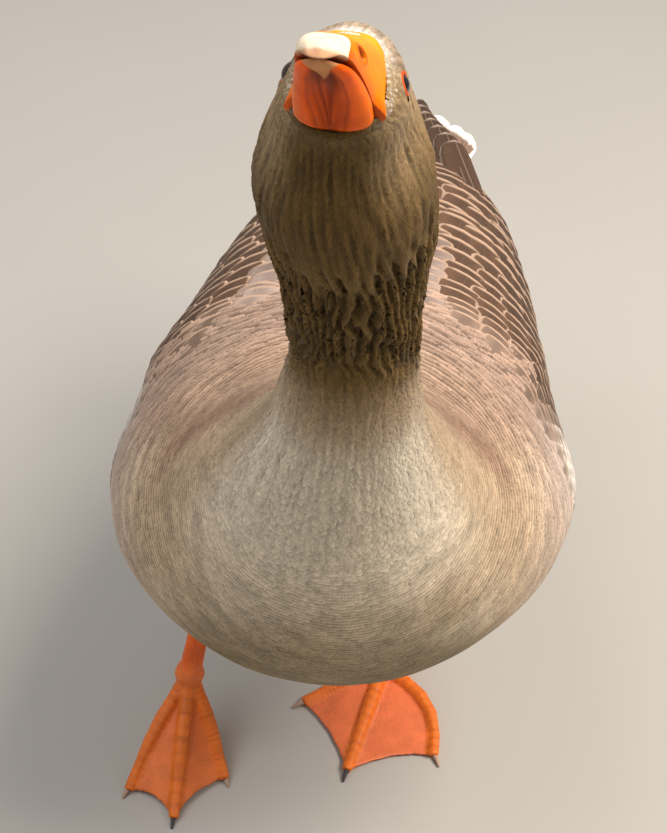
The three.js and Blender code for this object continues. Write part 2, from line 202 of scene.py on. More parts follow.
def curve_through(points, t):
    """Points of a smooth curve through the given ones, at places t that run from 0 to the last."""
    points = np.asarray(points, float)
    ends = np.vstack([2 * points[0] - points[1], points, 2 * points[-1] - points[-2]])
    t = np.asarray(t, float)
    start = np.clip(t.astype(int), 0, len(points) - 2)
    w = (t - start)[..., None]
    p0, p1, p2, p3 = (ends[start + k] for k in range(4))
    d0, d1, d2 = (
        np.maximum(np.sqrt(np.linalg.norm(b - a, axis=-1, keepdims=True)), 1e-4)
        for a, b in ((p0, p1), (p1, p2), (p2, p3))
    )
    m1 = d1 * ((p1 - p0) / d0 - (p2 - p0) / (d0 + d1) + (p2 - p1) / d1)
    m2 = d1 * ((p2 - p1) / d1 - (p3 - p1) / (d1 + d2) + (p3 - p2) / d2)
    return p1 + w * m1 + w**2 * (3 * (p2 - p1) - 2 * m1 - m2) + w**3 * (2 * (p1 - p2) + m1 + m2)


def ring_axes(station):
    """A ring's middle, and the directions ahead, back and left, in mm."""
    middle = curve_through([s[0] for s in STATIONS], station)
    lean, turn, roll = np.moveaxis(np.radians(curve_through([s[1] for s in STATIONS], station)), -1, 0)
    level = np.stack([-np.sin(turn), -np.cos(turn), 0 * turn], -1)
    up = np.array((0, 0, 1.0))
    ahead = level * np.cos(lean)[..., None] + up * np.sin(lean)[..., None]
    back = -level * np.sin(lean)[..., None] + up * np.cos(lean)[..., None]
    back = back * np.cos(-roll)[..., None] + np.cross(ahead, back) * np.sin(-roll)[..., None]
    return middle, ahead, back, np.cross(back, ahead)


def ease(x, low, high):
    """0 below low and 1 above high, with a soft change between them. low may be the greater."""
    x = np.clip((x - low) / (high - low), 0, 1)
    return x * x * (3 - 2 * x)


def wing_edges(back):
    """The angles of the folded wing's low and high edges, at a share back along it."""
    return [edge[0] + (edge[1] - edge[0]) * back for edge in (WING["low"], WING["high"])]


def wing_front(share):
    """The station at which the folded wing starts, at a share up it."""
    return WING["front"] - WING["bend"] * (share - 0.4) ** 2


def wing_share(station, angle):
    """How far up the folded wing, and how far back along it, a place of the body is, from 0 to 1."""
    up = np.where((angle > 90) & (angle <= 270), 180 - angle, np.where(angle > 270, angle - 360, angle))
    back = (WING["front"] - station) / (WING["front"] - WING["back"])
    for _ in range(3):
        low, high = wing_edges(back)
        share = (up - low) / (high - low)
        front = wing_front(np.clip(share, 0, 1))
        back = (front - station) / (front - WING["back"])
    return share, back


def wing_lift(station, angle):
    """How far the folded wing raises the feathers over the body, in mm."""
    share, back = wing_share(station, angle)
    crown = np.sqrt(np.sin(np.pi * (0.06 + 0.88 * np.clip(share, 0, 1))))
    full = WING["rim"] + WING["thick"] * crown * (0.55 + 0.45 * ease(back, 0, 0.25))
    sides = ease(share, -0.04, 0.04) * ease(share, 1.08, 0.92)
    tucked = ease(share, 0.5, 0.2)
    return full * sides * ease(back, -0.06 + 0.08 * tucked, 0.1 + 0.22 * tucked) * ease(back, 1.1, 1.0)


def body_place(station, angle, lift=0.0):
    """A point of the body, in metres, where lift is in mm."""
    middle, ahead, back, left = ring_axes(station)
    size = curve_through([s[2] for s in STATIONS], station)
    turn = np.radians(angle)
    high = np.sin(turn) * np.where(np.sin(turn) > 0, size[..., 1], size[..., 2])
    out = left * (np.cos(turn) * size[..., 0])[..., None] + back * high[..., None]
    point = middle + out
    near = ((point[..., 1] - FLANK["y"]) / FLANK["long"]) ** 2
    near = near + ((point[..., 2] - FLANK["z"]) / FLANK["high"]) ** 2
    lift = lift + FLANK["lift"] * np.exp(-near) * np.abs(np.cos(turn))
    out = out / np.linalg.norm(out, axis=-1, keepdims=True)
    return (point + out * lift[..., None] + OVER_ORIGIN) * MM


class Form:
    """A surface that feathers grow on. Its rows run along the lie of the coat and its columns round it."""

    def __init__(self, points):
        self.points = points
        self.rows, self.columns = points.shape[:2]
        down = np.gradient(points, axis=0)
        round_ = (np.roll(points, -1, 1) - np.roll(points, 1, 1)) / 2
        self.row_step = np.linalg.norm(down, axis=-1)
        self.column_step = np.linalg.norm(round_, axis=-1)
        normal = np.cross(down, round_)
        outward = points - points.mean(axis=1, keepdims=True)
        normal *= np.sign((normal * outward).sum(-1).mean())
        self.normal = normal / np.maximum(np.linalg.norm(normal, axis=-1, keepdims=True), 1e-12)
        steps = np.linalg.norm(np.diff(points, axis=0), axis=-1)
        self.distance = np.vstack([np.zeros(self.columns), np.cumsum(steps, axis=0)])

    def at(self, field, row, column):
        """A field's value between its rows and columns."""
        row = np.clip(row, 0, self.rows - 1.001)
        r, c = row.astype(int), np.floor(column).astype(int)
        a, b = row - r, column - c
        if field.ndim == 3:
            a, b = a[..., None], b[..., None]
        c0, c1 = c % self.columns, (c + 1) % self.columns
        top = field[r, c0] * (1 - b) + field[r, c1] * b
        return top * (1 - a) + (field[r + 1, c0] * (1 - b) + field[r + 1, c1] * b) * a

    def place(self, row, column, lift):
        """A point at that row and column, raised by lift metres."""
        lift = np.broadcast_to(lift, np.shape(row))[..., None]
        return self.at(self.points, row, column) + self.at(self.normal, row, column) * lift


ROWS = 16       # rows of the grid to a station
COLUMNS = 180   # columns of the grid round the body
grid_row, grid_column = np.meshgrid(np.arange(LAST * ROWS + 1.0), np.arange(COLUMNS + 0.0), indexing="ij")
grid_station, grid_angle = LAST - grid_row / ROWS, grid_column * 360 / COLUMNS
body = Form(body_place(grid_station, grid_angle, wing_lift(grid_station, grid_angle)))


def waves(points, size, seed, count=14):
    """A smooth, seeded ripple from about -1 to 1, whose swells are about size metres across."""
    dice = np.random.default_rng(seed)
    total = 0
    for _ in range(count):
        direction = dice.normal(size=3)
        direction *= math.tau / (size * 2 * dice.uniform(0.7, 1.5)) / np.linalg.norm(direction)
        total = total + np.sin(points @ direction + dice.uniform(0, math.tau))
    return total * math.sqrt(2 / count) / 1.6


# ---- Markings ---------------------------------------------------------------------------------------------
# A grey-brown farm goose: buff-grey breast, browner shoulders and neck, white vent and wrist. Each place
# of the body has one ground colour, which the skin under the feathers shares.

COLOURS = {}


def mix_colours(**colours):
    """Adds named sRGB colours to the palette."""
    COLOURS.update({name: np.array(linear(value)[:3]) for name, value in colours.items()})


mix_colours(
    buff="#b39c80", pale="#d8cab4", rose="#b8a59b", band="#8a6d5a", mantle="#937866", belly="#6f5f40",
    # The near-black furrow colour is painted shade in the neck furrows' valleys.
    neck="#7a5f33", crevice="#160c05", throat="#644c25", cheek="#9c8360", crown="#9c8873",
    white="#f0ece3", rump="#75604f",
)
WRIST = {"left": (0.03, 0.03), "right": (0.24, 0.05)}   # shares up and back along the wing of each patch


def blended(colour, *layers):
    """A colour with others laid over it in turn, each by a share from 0 to 1."""
    for name, share in layers:
        colour = colour + (COLOURS[name] - colour) * np.clip(share, 0, 1)[..., None]
    return colour


def wrist_patch(share, back, side):
    """How white the small feathers at the wing's wrist are."""
    up, along = WRIST[side]
    return np.exp(-(((back - along) / 0.075) ** 2) - (((share - up) / 0.13) ** 2))


def ground_colour(station, angle, points):
    """The coat's own colour at a place of the body."""
    side = np.abs(np.cos(np.radians(angle)))
    up = np.sin(np.radians(angle))
    mottle = waves(points, 0.035, 3)
    band = np.exp(-(((up - 0.47 - 0.44 * (station - 8.0)) / 0.2) ** 2))
    share, back = wing_share(station, angle)
    on_left = np.cos(np.radians(angle)) > 0
    wrist = np.where(on_left, wrist_patch(share, back, "left"), wrist_patch(share, back, "right"))
    pale = 0.55 * ease(station, 9.6, 7.8) * ease(up, -0.1, -0.9) * (0.7 + 0.5 * mottle)
    colour = blended(
        COLOURS["buff"],
        ("pale", pale),
        # The upper breast is paler still: its own pale buff, lifted by painted light against the head's
        # shadow on it.
        ("pale", ease(station, 10.6, 9.9) * ease(station, 7.6, 9.0) * ease(up, 0.1, -0.5)),
        ("rose", 0.8 * ease(station, 7.6, 5.6) * ease(up, -0.75, -0.1)),
        # The underside behind the breast is darkened with painted shade.
        ("belly", 0.9 * ease(station, 8.8, 6.8) * ease(up, -0.42, -0.92)),
        ("mantle", 0.8 * ease(station, 9.3, 8.2) * ease(up, 0.15, 0.6)),
        ("band", 0.9 * band * ease(station, 9.4, 8.9) * ease(station, 7.0, 7.9)),
        ("neck", ease(station, 10.4, 11.3)),
        # The throat's brown is darker than its own: it carries painted shade under the head.
        ("throat", ease(station, 12.9, 13.6)),
        ("cheek", 0.8 * ease(station, 13.7, 15.2) * ease(side, 0.45, 0.95)),
        ("crown", ease(station, 13.9, 15.6) * ease(up, 0.1, 0.75)),
        ("white", 0.5 * ease(station, 16.3, 16.8) * ease(up, 0.35, 0.85)),
        ("white", 0.6 * ease(station, 16.75, 16.95) * ease(up, 0.1, 0.7)),
        ("rump", ease(station, 4.2, 2.8) * ease(up, 0.1, 0.6)),
        ("white", ease(station, 2.6, 1.3) * ease(up, 0.1, -0.3)),
        ("white", ease(station, 1.25, 0.85) * ease(up, 0.2, 0.5)),
        ("white", 1.5 * wrist),
    )
    return np.clip(colour, 0, 1)


def streaks(row, column, station):
    """The coat's soft streaks, from about -1 to 1: along the lie on head and neck, across it on the body."""
    turn = column * math.tau / COLUMNS
    along, across = (
        waves(np.stack([np.cos(turn) * radius, np.sin(turn) * radius, row * step], -1) * MM, size, seed)
        for radius, step, size, seed in ((58, 0.3, 0.0021, 41), (15, 1.7, 0.0026, 42))
    )
    upper = ease(station, 8.2, 9.4)
    return along * upper + across * (1 - upper)


# ---- Neck furrows -----------------------------------------------------------------------------------------
# Geese wear the feathers of the upper neck in deep ropy furrows. They start under the throat, lower in
# front than at the sides, run down the neck with a waver, and break up into lumps above the breast.

FURROWS = 40          # furrows round the neck
FURROW_DEPTH = 5.2    # mm
HOLLOW = 2.6          # mm, of the hollow under the throat
THROAT, CRAW = 13.5, 10.2       # stations between which the furrows run
SWELLS, HEAD_GROOVES = 0.35, 0.4    # mm, of the coat's soft swells and of the head's grooves


def furrow_start(column):
    """The station at which the furrows start, and how far round to the front that is, from 0 to 1."""
    turn = column * math.tau / COLUMNS
    front = np.clip(-np.sin(turn), 0, 1)
    ragged = 0.12 * np.sin(turn * 11) + 0.2 * np.sin(turn * 29 + 1)
    return THROAT - 0.5 * front**2 + ragged, front


def furrow(row, column):
    """The share of a furrow's ridge at a place of the body, from 0 in its valley to 1, and its strength."""
    station = LAST - row / ROWS
    start, front = furrow_start(column)
    places = body.at(body.points, row, column)
    lower = ease(station, 12.3, 11.2)
    waver = 0.6 * waves(places * (1, 1, 0.6), 0.02, 11) + (0.16 + 0.3 * lower) * waves(places, 0.009, 12)
    phase = (column / COLUMNS * FURROWS + waver) % 1
    ridge = 1 - np.abs(2 * phase - 1) ** 2.2
    lumps = 0.5 + 0.5 * waves(places, 0.0075, 13)
    ridge = np.clip(ridge * (1 - 0.6 * lower * lumps - 0.15 * (1 - lower) * lumps), 0, 1)
    end = CRAW + 0.75 * front
    strength = ease(station, start + 0.4, start - 0.6) * ease(station, end, end + 0.8)
    return ridge, strength, phase


def relief(row, column):
    """How far the coat lies under its outline, in metres: furrows in the neck, soft swells elsewhere."""
    ridge, strength, _ = furrow(row, column)
    station = LAST - row / ROWS
    start, front = furrow_start(column)
    swell = waves(body.at(body.points, row, column), 0.028, 21) * ease(station, 13.5, 9.0)
    hollow = np.exp(-(((station - start + 0.45) / 0.33) ** 2)) * front
    grooves = streaks(row, column, station) * ease(station, 12.4, 13.2) * ease(station, 16.2, 15.4)
    shape = SWELLS * (swell - 1) + HEAD_GROOVES * grooves - HOLLOW * hollow
    return ((ridge - 1) * strength * FURROW_DEPTH + shape) * MM


# ---- Thighs -----------------------------------------------------------------------------------------------
# Each thigh is a short feathered cone under the flank, from the hip down to the hock, and the scaly
# shank comes out of its end.

THIGHS = {
    # hip and hock in mm, as the feet stand: the left one carries the weight and the right one swings
    "left": ((52, 52, 205), (36, 108, 79)),
    "right": ((-64, 30, 215), (-89, 36, 129.5)),
}
HOCK_RADIUS = 11.3
THIGH_RADIUS = 40
THIGH_ROWS, THIGH_COLUMNS = 60, 72


def thigh_form(hip, hock):
    """The outline of one thigh's feathers, from the hip to the hock."""
    hip, hock = np.array(hip, float), np.array(hock, float)
    knee = hock + (hip - hock) * 0.45 - (0, 3, 0)
    down = np.linspace(0, 2, THIGH_ROWS)
    line = curve_through([hip, knee, hock], down)
    ahead = np.gradient(line, axis=0)
    ahead /= np.linalg.norm(ahead, axis=1, keepdims=True)
    side = np.cross((0, 0, 1.0), ahead)
    side /= np.linalg.norm(side, axis=1, keepdims=True)
    top = np.cross(ahead, side)
    radius = HOCK_RADIUS + (THIGH_RADIUS - HOCK_RADIUS) * (1 - down / 2) ** 1.15
    turn = np.linspace(0, math.tau, THIGH_COLUMNS, endpoint=False)
    ring = side[:, None] * np.cos(turn)[:, None] + top[:, None] * 1.2 * np.sin(turn)[:, None]
    return Form((line[:, None] + ring * radius[:, None, None] + OVER_ORIGIN) * MM)


thighs = {side: thigh_form(*ends) for side, ends in THIGHS.items()}

# ---- Collar -----------------------------------------------------------------------------------------------
# The head's feathers end round the bill's base in a rounded edge, which turns in to meet the horn.

COLLAR = dict(ahead=2.6, inner=0.86, rows=10, onto=6)


def collar_form():
    """The rounded edge of the head, from the bill out to the head's last ring and a little way up it."""
    middle, ahead = ring_axes(np.array(float(LAST)))[:2]
    middle = (middle + OVER_ORIGIN) * MM
    ring = body.points[0] - middle
    bend = np.linspace(0, math.pi / 2, COLLAR["rows"])[:, None, None]
    turned_in = middle + ring * (COLLAR["inner"] + (1 - COLLAR["inner"]) * np.sin(bend))
    turned_in = turned_in + ahead * COLLAR["ahead"] * MM * np.cos(bend)
    return Form(np.concatenate([turned_in, body.points[1 : COLLAR["onto"]]]))


collar = collar_form()

# ---- Skin -------------------------------------------------------------------------------------------------
# One skin over body, neck, head, folded wings and thighs, under the coat by its depth. It shows only
# between the feathers, so it carries the coat's colours and a fine pimpled grain.

FLESH = ["trunk", "neck_lower", "neck_middle", "neck_upper", "head", "thigh_left", "thigh_right"]
SKIN_MESH = 0.003
EYE = dict(station=15.9, angle=19, radius=5.9, bulge=0.5)
SOCKET, SOCKET_INNER, SOCKET_OUTER = 0.5, 5.5, 8.5     # mm: how deep the skin sinks round the eyes, and where
RIDGE_OVER = 0.9    # the share of a furrow's depth that is feathers only
eye_places = {
    side: body_place(np.array(EYE["station"]), np.array(float(angle)), np.array(EYE["bulge"] - EYE["radius"]))
    for side, angle in (("left", EYE["angle"]), ("right", 180 - EYE["angle"]))
}


def new_object(name, shape):
    """Leaves a bmesh as a new smooth object."""
    mesh = bpy.data.meshes.new(name)
    shape.to_mesh(mesh)
    shape.free()
    mesh.polygons.foreach_set("use_smooth", [True] * len(mesh.polygons))
    made = bpy.data.objects.new(name, mesh)
    bpy.context.scene.collection.objects.link(made)
    return made


def add_shell(shape, points):
    """Adds a closed tube to a bmesh: a grid with its points set to rows of rings, its ends filled."""
    rows, columns = points.shape[:2]
    ring = np.concatenate([points, points[:, :1]], 1)
    grid = bmesh.ops.create_grid(shape, x_segments=rows - 1, y_segments=columns, size=1)
    for vert in grid["verts"]:
        row = round((vert.co.x + 1) / 2 * (rows - 1))
        column = round((vert.co.y + 1) / 2 * columns)
        vert.co = ring[row, column]
    bmesh.ops.remove_doubles(shape, verts=grid["verts"], dist=1e-6)
    rims = [edge for edge in shape.edges if edge.is_boundary]
    bmesh.ops.holes_fill(shape, edges=rims, sides=0)
    bmesh.ops.recalc_face_normals(shape, faces=shape.faces)


def apply_modifiers(made):
    """Leaves the object with the mesh that its modifiers make."""
    depsgraph = bpy.context.evaluated_depsgraph_get()
    mesh = bpy.data.meshes.new_from_object(made.evaluated_get(depsgraph))
    made.modifiers.clear()
    made.data = mesh
    mesh.name = made.name


def remeshed(made, voxel, smoothing):
    """Turns overlapping solids into one smooth closed surface."""
    remesh = made.modifiers.new("one_skin", "REMESH")
    remesh.mode = "VOXEL"
    remesh.voxel_size = voxel
    soften = made.modifiers.new("soften", "SMOOTH")
    soften.iterations = smoothing
    soften.factor = 0.6
    apply_modifiers(made)
    made.data.polygons.foreach_set("use_smooth", [True] * len(made.data.polygons))


def as_rows(items, key):
    """A property of a mesh's points, such as their places, as an array."""
    flat = np.empty(len(items) * 3, np.float32)
    items.foreach_get(key, flat)
    return flat.reshape(-1, 3).astype(float)


def nearest_of(points, places):
    """For each place, the number of the nearest point of a grid."""
    tree = KDTree(points.shape[0] * points.shape[1])
    for number, point in enumerate(points.reshape(-1, 3)):
        tree.insert(point, number)
    tree.balance()
    return np.array([tree.find(place)[1] for place in places])


def set_colours(mesh, name, colours):
    """Gives each point of a mesh a colour, or all of them the same."""
    full = np.ones((len(mesh.vertices), 4), np.float32)
    full[:, : colours.shape[-1]] = colours
    layer = mesh.color_attributes.new(name, "FLOAT_COLOR", "POINT")
    layer.data.foreach_set("color", full.ravel())


def set_piece(made, material, slot_name, *replaced):
    """Gives a finished piece its material, and its place in the goose."""
    made.data.materials.append(material)
    if replaced:
        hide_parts(*replaced)
    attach(made, "root")


def coat_depth(station):
    """How far the skin lies under the outline of the feathers, in metres."""
    neck = ease(station, 13.7, 12.9) * ease(station, 9.6, 10.6)
    return (0.8 + 1.0 * neck + 0.8 * ease(station, 9.5, 7.5) + 0.8 * ease(station, 6.5, 4.0)) * MM


sink = coat_depth(grid_station) - np.minimum(relief(grid_row, grid_column), 0) * ease(grid_station, 9, 9.5)
ridge, strength, _ = furrow(grid_row, grid_column)
sink = sink + RIDGE_OVER * FURROW_DEPTH * MM * ridge * strength
for eye in eye_places.values():
    away = np.linalg.norm(body.points - eye, axis=-1) / MM
    sink = sink + SOCKET * MM * ease(away, SOCKET_OUTER, SOCKET_INNER)
sunk = body.place(grid_row, grid_column, -sink)
shape = bmesh.new()
add_shell(shape, sunk)
for form, depth in ((thighs["left"], 2.5), (thighs["right"], 2.5), (collar, 0.7)):
    add_shell(shape, form.points - form.normal * depth * MM)
skin = new_object("skin", shape)
remeshed(skin, SKIN_MESH, 3)
places = as_rows(skin.data.vertices, "co")
nearest = nearest_of(sunk, places)
near_row, near_column = (nearest // body.columns).astype(float), (nearest % body.columns).astype(float)
colours = ground_colour(LAST - near_row / ROWS, near_column * 360 / COLUMNS, places)
ridge, strength, _ = furrow(near_row, near_column)
# The skin in the furrows' valleys is darkened towards the furrow colour: painted shade in the creases.
set_colours(skin.data, "ground", blended(colours, ("crevice", strength * (1 - 0.85 * ridge))) * 0.9)

# Bird skin with down on it: matt, finely pimpled every 1.6 mm.
GROUND = {"attribute_name": "ground"}
SCALE = {"operation": "SCALE"}
down_skin, tree = new_material("downy_skin")
place = add_node(tree, "TexCoord").outputs["Object"]
pimples = add_node(tree, "TexNoise", Vector=place, Scale=620.0, Detail=2.0)
mottle = add_node(tree, "MapRange", Value=pimples, To_Min=0.7, To_Max=1.2)
shade = add_node(tree, "VectorMath", SCALE, Vector=add_node(tree, "Attribute", GROUND), Scale=mottle)
bump = add_node(tree, "Bump", Height=pimples, Strength=0.4, Distance=0.0006)
set_surface(tree, Base_Color=shade, Normal=bump, Roughness=0.9, Specular_IOR_Level=0.2)
set_piece(skin, down_skin, "plumage", *FLESH)

# ---- Contour feathers -------------------------------------------------------------------------------------
# The short feathers of head, neck, breast, belly and back lie in staggered rows from the bill to the
# tail, each over the roots of the next row. Every one is a thin closed vane with a rounded tip.

# Rings of a vane: share of its length, and share of its half width. Its section: share across, height.
# The last faces of a section are its flat underside.
TUFT = dict(rings=((0, 0.7), (0.4, 1), (0.86, 0.8)), section=((-1, 0), (0, 1), (1, 0)), under=1)
VANE = dict(
    rings=((0, 0.85), (0.5, 1), (0.86, 1), (0.97, 0.84)),
    section=((-1, 0), (-0.45, 0.85), (0.45, 0.85), (1, 0)),
    under=1,
)
PLUME = dict(
    rings=((0, 0.22), (0.15, 0.62), (0.35, 0.9), (0.58, 1), (0.78, 0.95), (0.9, 0.76), (0.97, 0.45)),
    section=((-1, 0), (-0.74, 0.55), (0, 1), (0.74, 0.55), (1, 0), (0.5, -0.15), (-0.5, -0.15)),
    under=3,
)
COVERT = dict(
    PLUME, rings=((0, 0.5), (0.2, 0.85), (0.45, 0.97), (0.7, 1), (0.88, 0.97), (0.955, 0.82), (0.987, 0.55)),
)
PATCH = 0.0015          # half the size of a vane's patch on the baking map
OWN_NORMAL = 0.26       # how much of its own shape's shading a small vane shows
HEAD_NORMAL = 0.15
MOST_TRIANGLES = 195000


def vane_faces(shape):
    """The faces of one closed vane, its sides, the cap of its root and the fan of its tip, and which of them
    are smooth: all but its underside and its cap."""
    wide, rows = len(shape["section"]), len(shape["rings"])
    faces, smooth = [], []
    for row in range(rows):
        for i in range(wide):
            a, b = row * wide + i, row * wide + (i + 1) % wide
            last = row == rows - 1
            faces += [(a, b, rows * wide)] if last else [(a, b, b + wide), (a, b + wide, a + wide)]
            smooth += [i < wide - shape["under"]] * (1 if last else 2)
    faces += [(0, i + 1, i) for i in range(1, wide - 1)]
    smooth += [False] * (wide - 2)
    return np.array(faces), np.array(smooth)


def vanes(form, row, column, length, width, depth, swing, stand, thick, shape, sag=0.0, hills=None,
          smooth=None):
    """Grows a vane from each row and column, in metres: it starts depth under the form, runs down the lie
    turned by swing (degrees), and its tip ends stand over the form. Returns points, their lie, and at each
    point the normal of a smooth coat."""
    row, column = np.array(row, float), np.array(column, float)
    smooth = smooth or form
    turned = np.radians(swing)
    points, lie, normals = [], [], []
    done = 0.0
    for share, half in (*shape["rings"], (1.0, None)):
        step = (share - done) * length
        done = share
        row = row + step * np.cos(turned) / form.at(form.row_step, row, column)
        column = column + step * np.sin(turned) / form.at(form.column_step, row, column)
        lift = -depth * (1 - share) ** 1.15 + stand * share**2
        for across, high in shape["section"] if half is not None else ((0, 0.3),):
            out = across * (half or 0) * width / 2
            r = row - out * np.sin(turned) / form.at(form.row_step, row, column)
            c = column + out * np.cos(turned) / form.at(form.column_step, row, column)
            up = lift + high * thick - sag * across**2 * (half or 0)
            if hills is not None:
                up = up + hills(r, c)
            points.append(form.place(r, c, up))
            normals.append(smooth.at(smooth.normal, r, c))
            lie.append((share, across * (half or 0), across))
    return np.stack(points, 1), np.array(lie), np.stack(normals, 1)


def join_vanes(name, points, lie, normals, shape, own):
    """Joins many like vanes into one mesh. Barbs catch the light softly, so each vane is shaded mostly as the
    coat around it, and by the share own as its own shape. Returns the mesh and its corners' points."""
    count, each = points.shape[:2]
    faces, smooth = vane_faces(shape)
    a, b, c = (points[:, corner] for corner in faces[0])
    if (np.cross(b - a, c - a) * normals[:, 0]).sum() < 0:
        faces = faces[:, ::-1]
    mesh = bpy.data.meshes.new(name)
    every = (faces[None] + (np.arange(count) * each)[:, None, None]).reshape(-1, 3)
    mesh.vertices.add(count * each)
    mesh.vertices.foreach_set("co", points.astype(np.float32).ravel())
    mesh.loops.add(every.size)
    mesh.loops.foreach_set("vertex_index", every.ravel().astype(np.int32))
    mesh.polygons.add(len(every))
    mesh.polygons.foreach_set("loop_start", np.arange(0, every.size, 3, dtype=np.int32))
    mesh.polygons.foreach_set("use_smooth", np.tile(smooth, count))
    mesh.update(calc_edges=True)
    shading = normals.reshape(-1, 3) + own * as_rows(mesh.vertex_normals, "vector")
    shading /= np.linalg.norm(shading, axis=1, keepdims=True)
    mesh.normals_split_custom_set(shading[every.ravel()] * np.repeat(np.tile(smooth, count), 3)[:, None])
    return mesh, every.ravel()


def grow(name, form, row, column, sizes, shape, colours, dice, material, slot_name, own=OWN_NORMAL,
         contrast=1.0, patches=(0.01, 0.98), **looks):
    """Grows vanes of these sizes as one piece, or as several where it has too many triangles, each with its
    colours and its baking map: a patch for each vane at its root's place on the unrolled form."""
    points, lie, normals = vanes(form, row, column, *sizes, shape, **looks)
    spread = np.stack([lie[:, 1] * PATCH, (lie[:, 0] * 2 - 1) * PATCH], -1)
    roots = np.stack([0.01 + 0.98 * column / form.columns, patches[0] + patches[1] * row / form.rows], -1)
    colours = np.hstack([colours, np.broadcast_to(contrast, len(row))[:, None]])
    count = len(row)
    parts = -(-count * len(vane_faces(shape)[0]) // MOST_TRIANGLES)
    for part in range(parts):
        chosen = slice(part * count // parts, (part + 1) * count // parts)
        label = name if parts == 1 else f"{name}_{part + 1}"
        mesh, corners = join_vanes(label, points[chosen], lie, normals[chosen], shape, own)
        uv = (roots[chosen, None] + spread[None]).reshape(-1, 2)
        mesh.uv_layers.new(name="OFBake").data.foreach_set("uv", uv[corners].astype(np.float32).ravel())
        set_colours(mesh, "ground", np.repeat(colours[chosen], len(lie), 0))
        many = len(colours[chosen])
        chance = np.repeat(dice.uniform(size=(many, 2)), len(lie), 0)
        place = np.tile(np.stack([lie[:, 0], lie[:, 2] * 0.5 + 0.5], -1), (many, 1))
        set_colours(mesh, "lie", np.hstack([place, chance]))
        made = bpy.data.objects.new(label, mesh)
        bpy.context.scene.collection.objects.link(made)
        set_piece(made, material, slot_name)
    return made


def staggered(form, gap, across, dice, waver=0.0, jitter=0.08):
    """Roots in rows that are gap metres apart along the lie and across metres apart in a row, staggered
    from row to row. Both may change over the form's grid."""
    gap = np.broadcast_to(gap, (form.rows, form.columns))
    across = np.broadcast_to(across, (form.rows, form.columns))
    steps = np.linalg.norm(np.diff(form.points, axis=0), axis=-1) / ((gap[1:] + gap[:-1]) / 2)
    count = np.vstack([np.zeros(form.columns), np.cumsum(steps, axis=0)]) + waver
    lines = np.arange(1, int(count.max()))
    grid = np.arange(form.rows)
    found = np.stack([np.interp(lines, count[:, c], grid, np.nan, np.nan) for c in range(form.columns)], 1)
    ring = np.arange(form.columns + 0.0)
    rows, columns = [], []
    for number, line in enumerate(found):
        there = np.where(np.isnan(line), 0.0, line)
        density = form.at(form.column_step, there, ring) / form.at(across, there, ring)
        total = np.concatenate([[0], np.cumsum(density)])
        many = max(8, round(total[-1]))
        place = (np.arange(many) + 0.5 * (number % 2) + dice.uniform(-2, 2, many) * jitter) / many
        column = np.interp((place % 1) * total[-1], total, np.arange(form.columns + 1.0)) % form.columns
        here = np.interp(column, np.arange(form.columns + 1.0), np.append(line, line[0]))
        kept = ~np.isnan(here)
        column, here = column[kept], here[kept]
        wobble = dice.uniform(-1, 1, len(here)) * jitter * form.at(gap, here, column)
        rows.append(here + wobble / form.at(form.row_step, here, column))
        columns.append(column)
    return np.concatenate(rows), np.concatenate(columns)


LIE = {"attribute_name": "lie"}
SMOOTH = {"interpolation_type": "SMOOTHSTEP"}
MULTIPLY = {"operation": "MULTIPLY"}


def vane_places(tree):
    """A vane's ground colour; how far along it a place is; its place across, from -1 to 1; its share of the
    way out from the shaft; and the vane's own chance number."""
    along, across, chance = add_node(tree, "SeparateColor", Color=add_node(tree, "Attribute", LIE)).outputs
    middle = add_node(tree, "MapRange", Value=across, To_Min=-1.0)
    away = add_node(tree, "Math", {"operation": "ABSOLUTE"}, _0=middle)
    return add_node(tree, "Attribute", GROUND), along, middle, away, chance


def barbs(tree, x, y, chance, scale, apart, dark, light, luck):
    """The streaks that barbs draw on a vane, at places x and y, as a height, and as a factor on its colour
    which has a luck of the vane's own."""
    shift = add_node(tree, "MapRange", Value=chance, To_Max=apart)
    place = add_node(tree, "CombineXYZ", X=x, Y=y, Z=shift)
    stretch = add_node(tree, "Mapping", Vector=place, Scale=(*scale, 1.0))
    height = add_node(tree, "TexNoise", Vector=stretch, Scale=1.0, Detail=2.0)
    lines = add_node(tree, "MapRange", Value=height, From_Min=0.3, From_Max=0.7, To_Min=dark, To_Max=light)
    own = add_node(tree, "MapRange", Value=chance, To_Min=1 - luck, To_Max=1 + luck)
    return height, add_node(tree, "Math", MULTIPLY, _0=lines, _1=own)


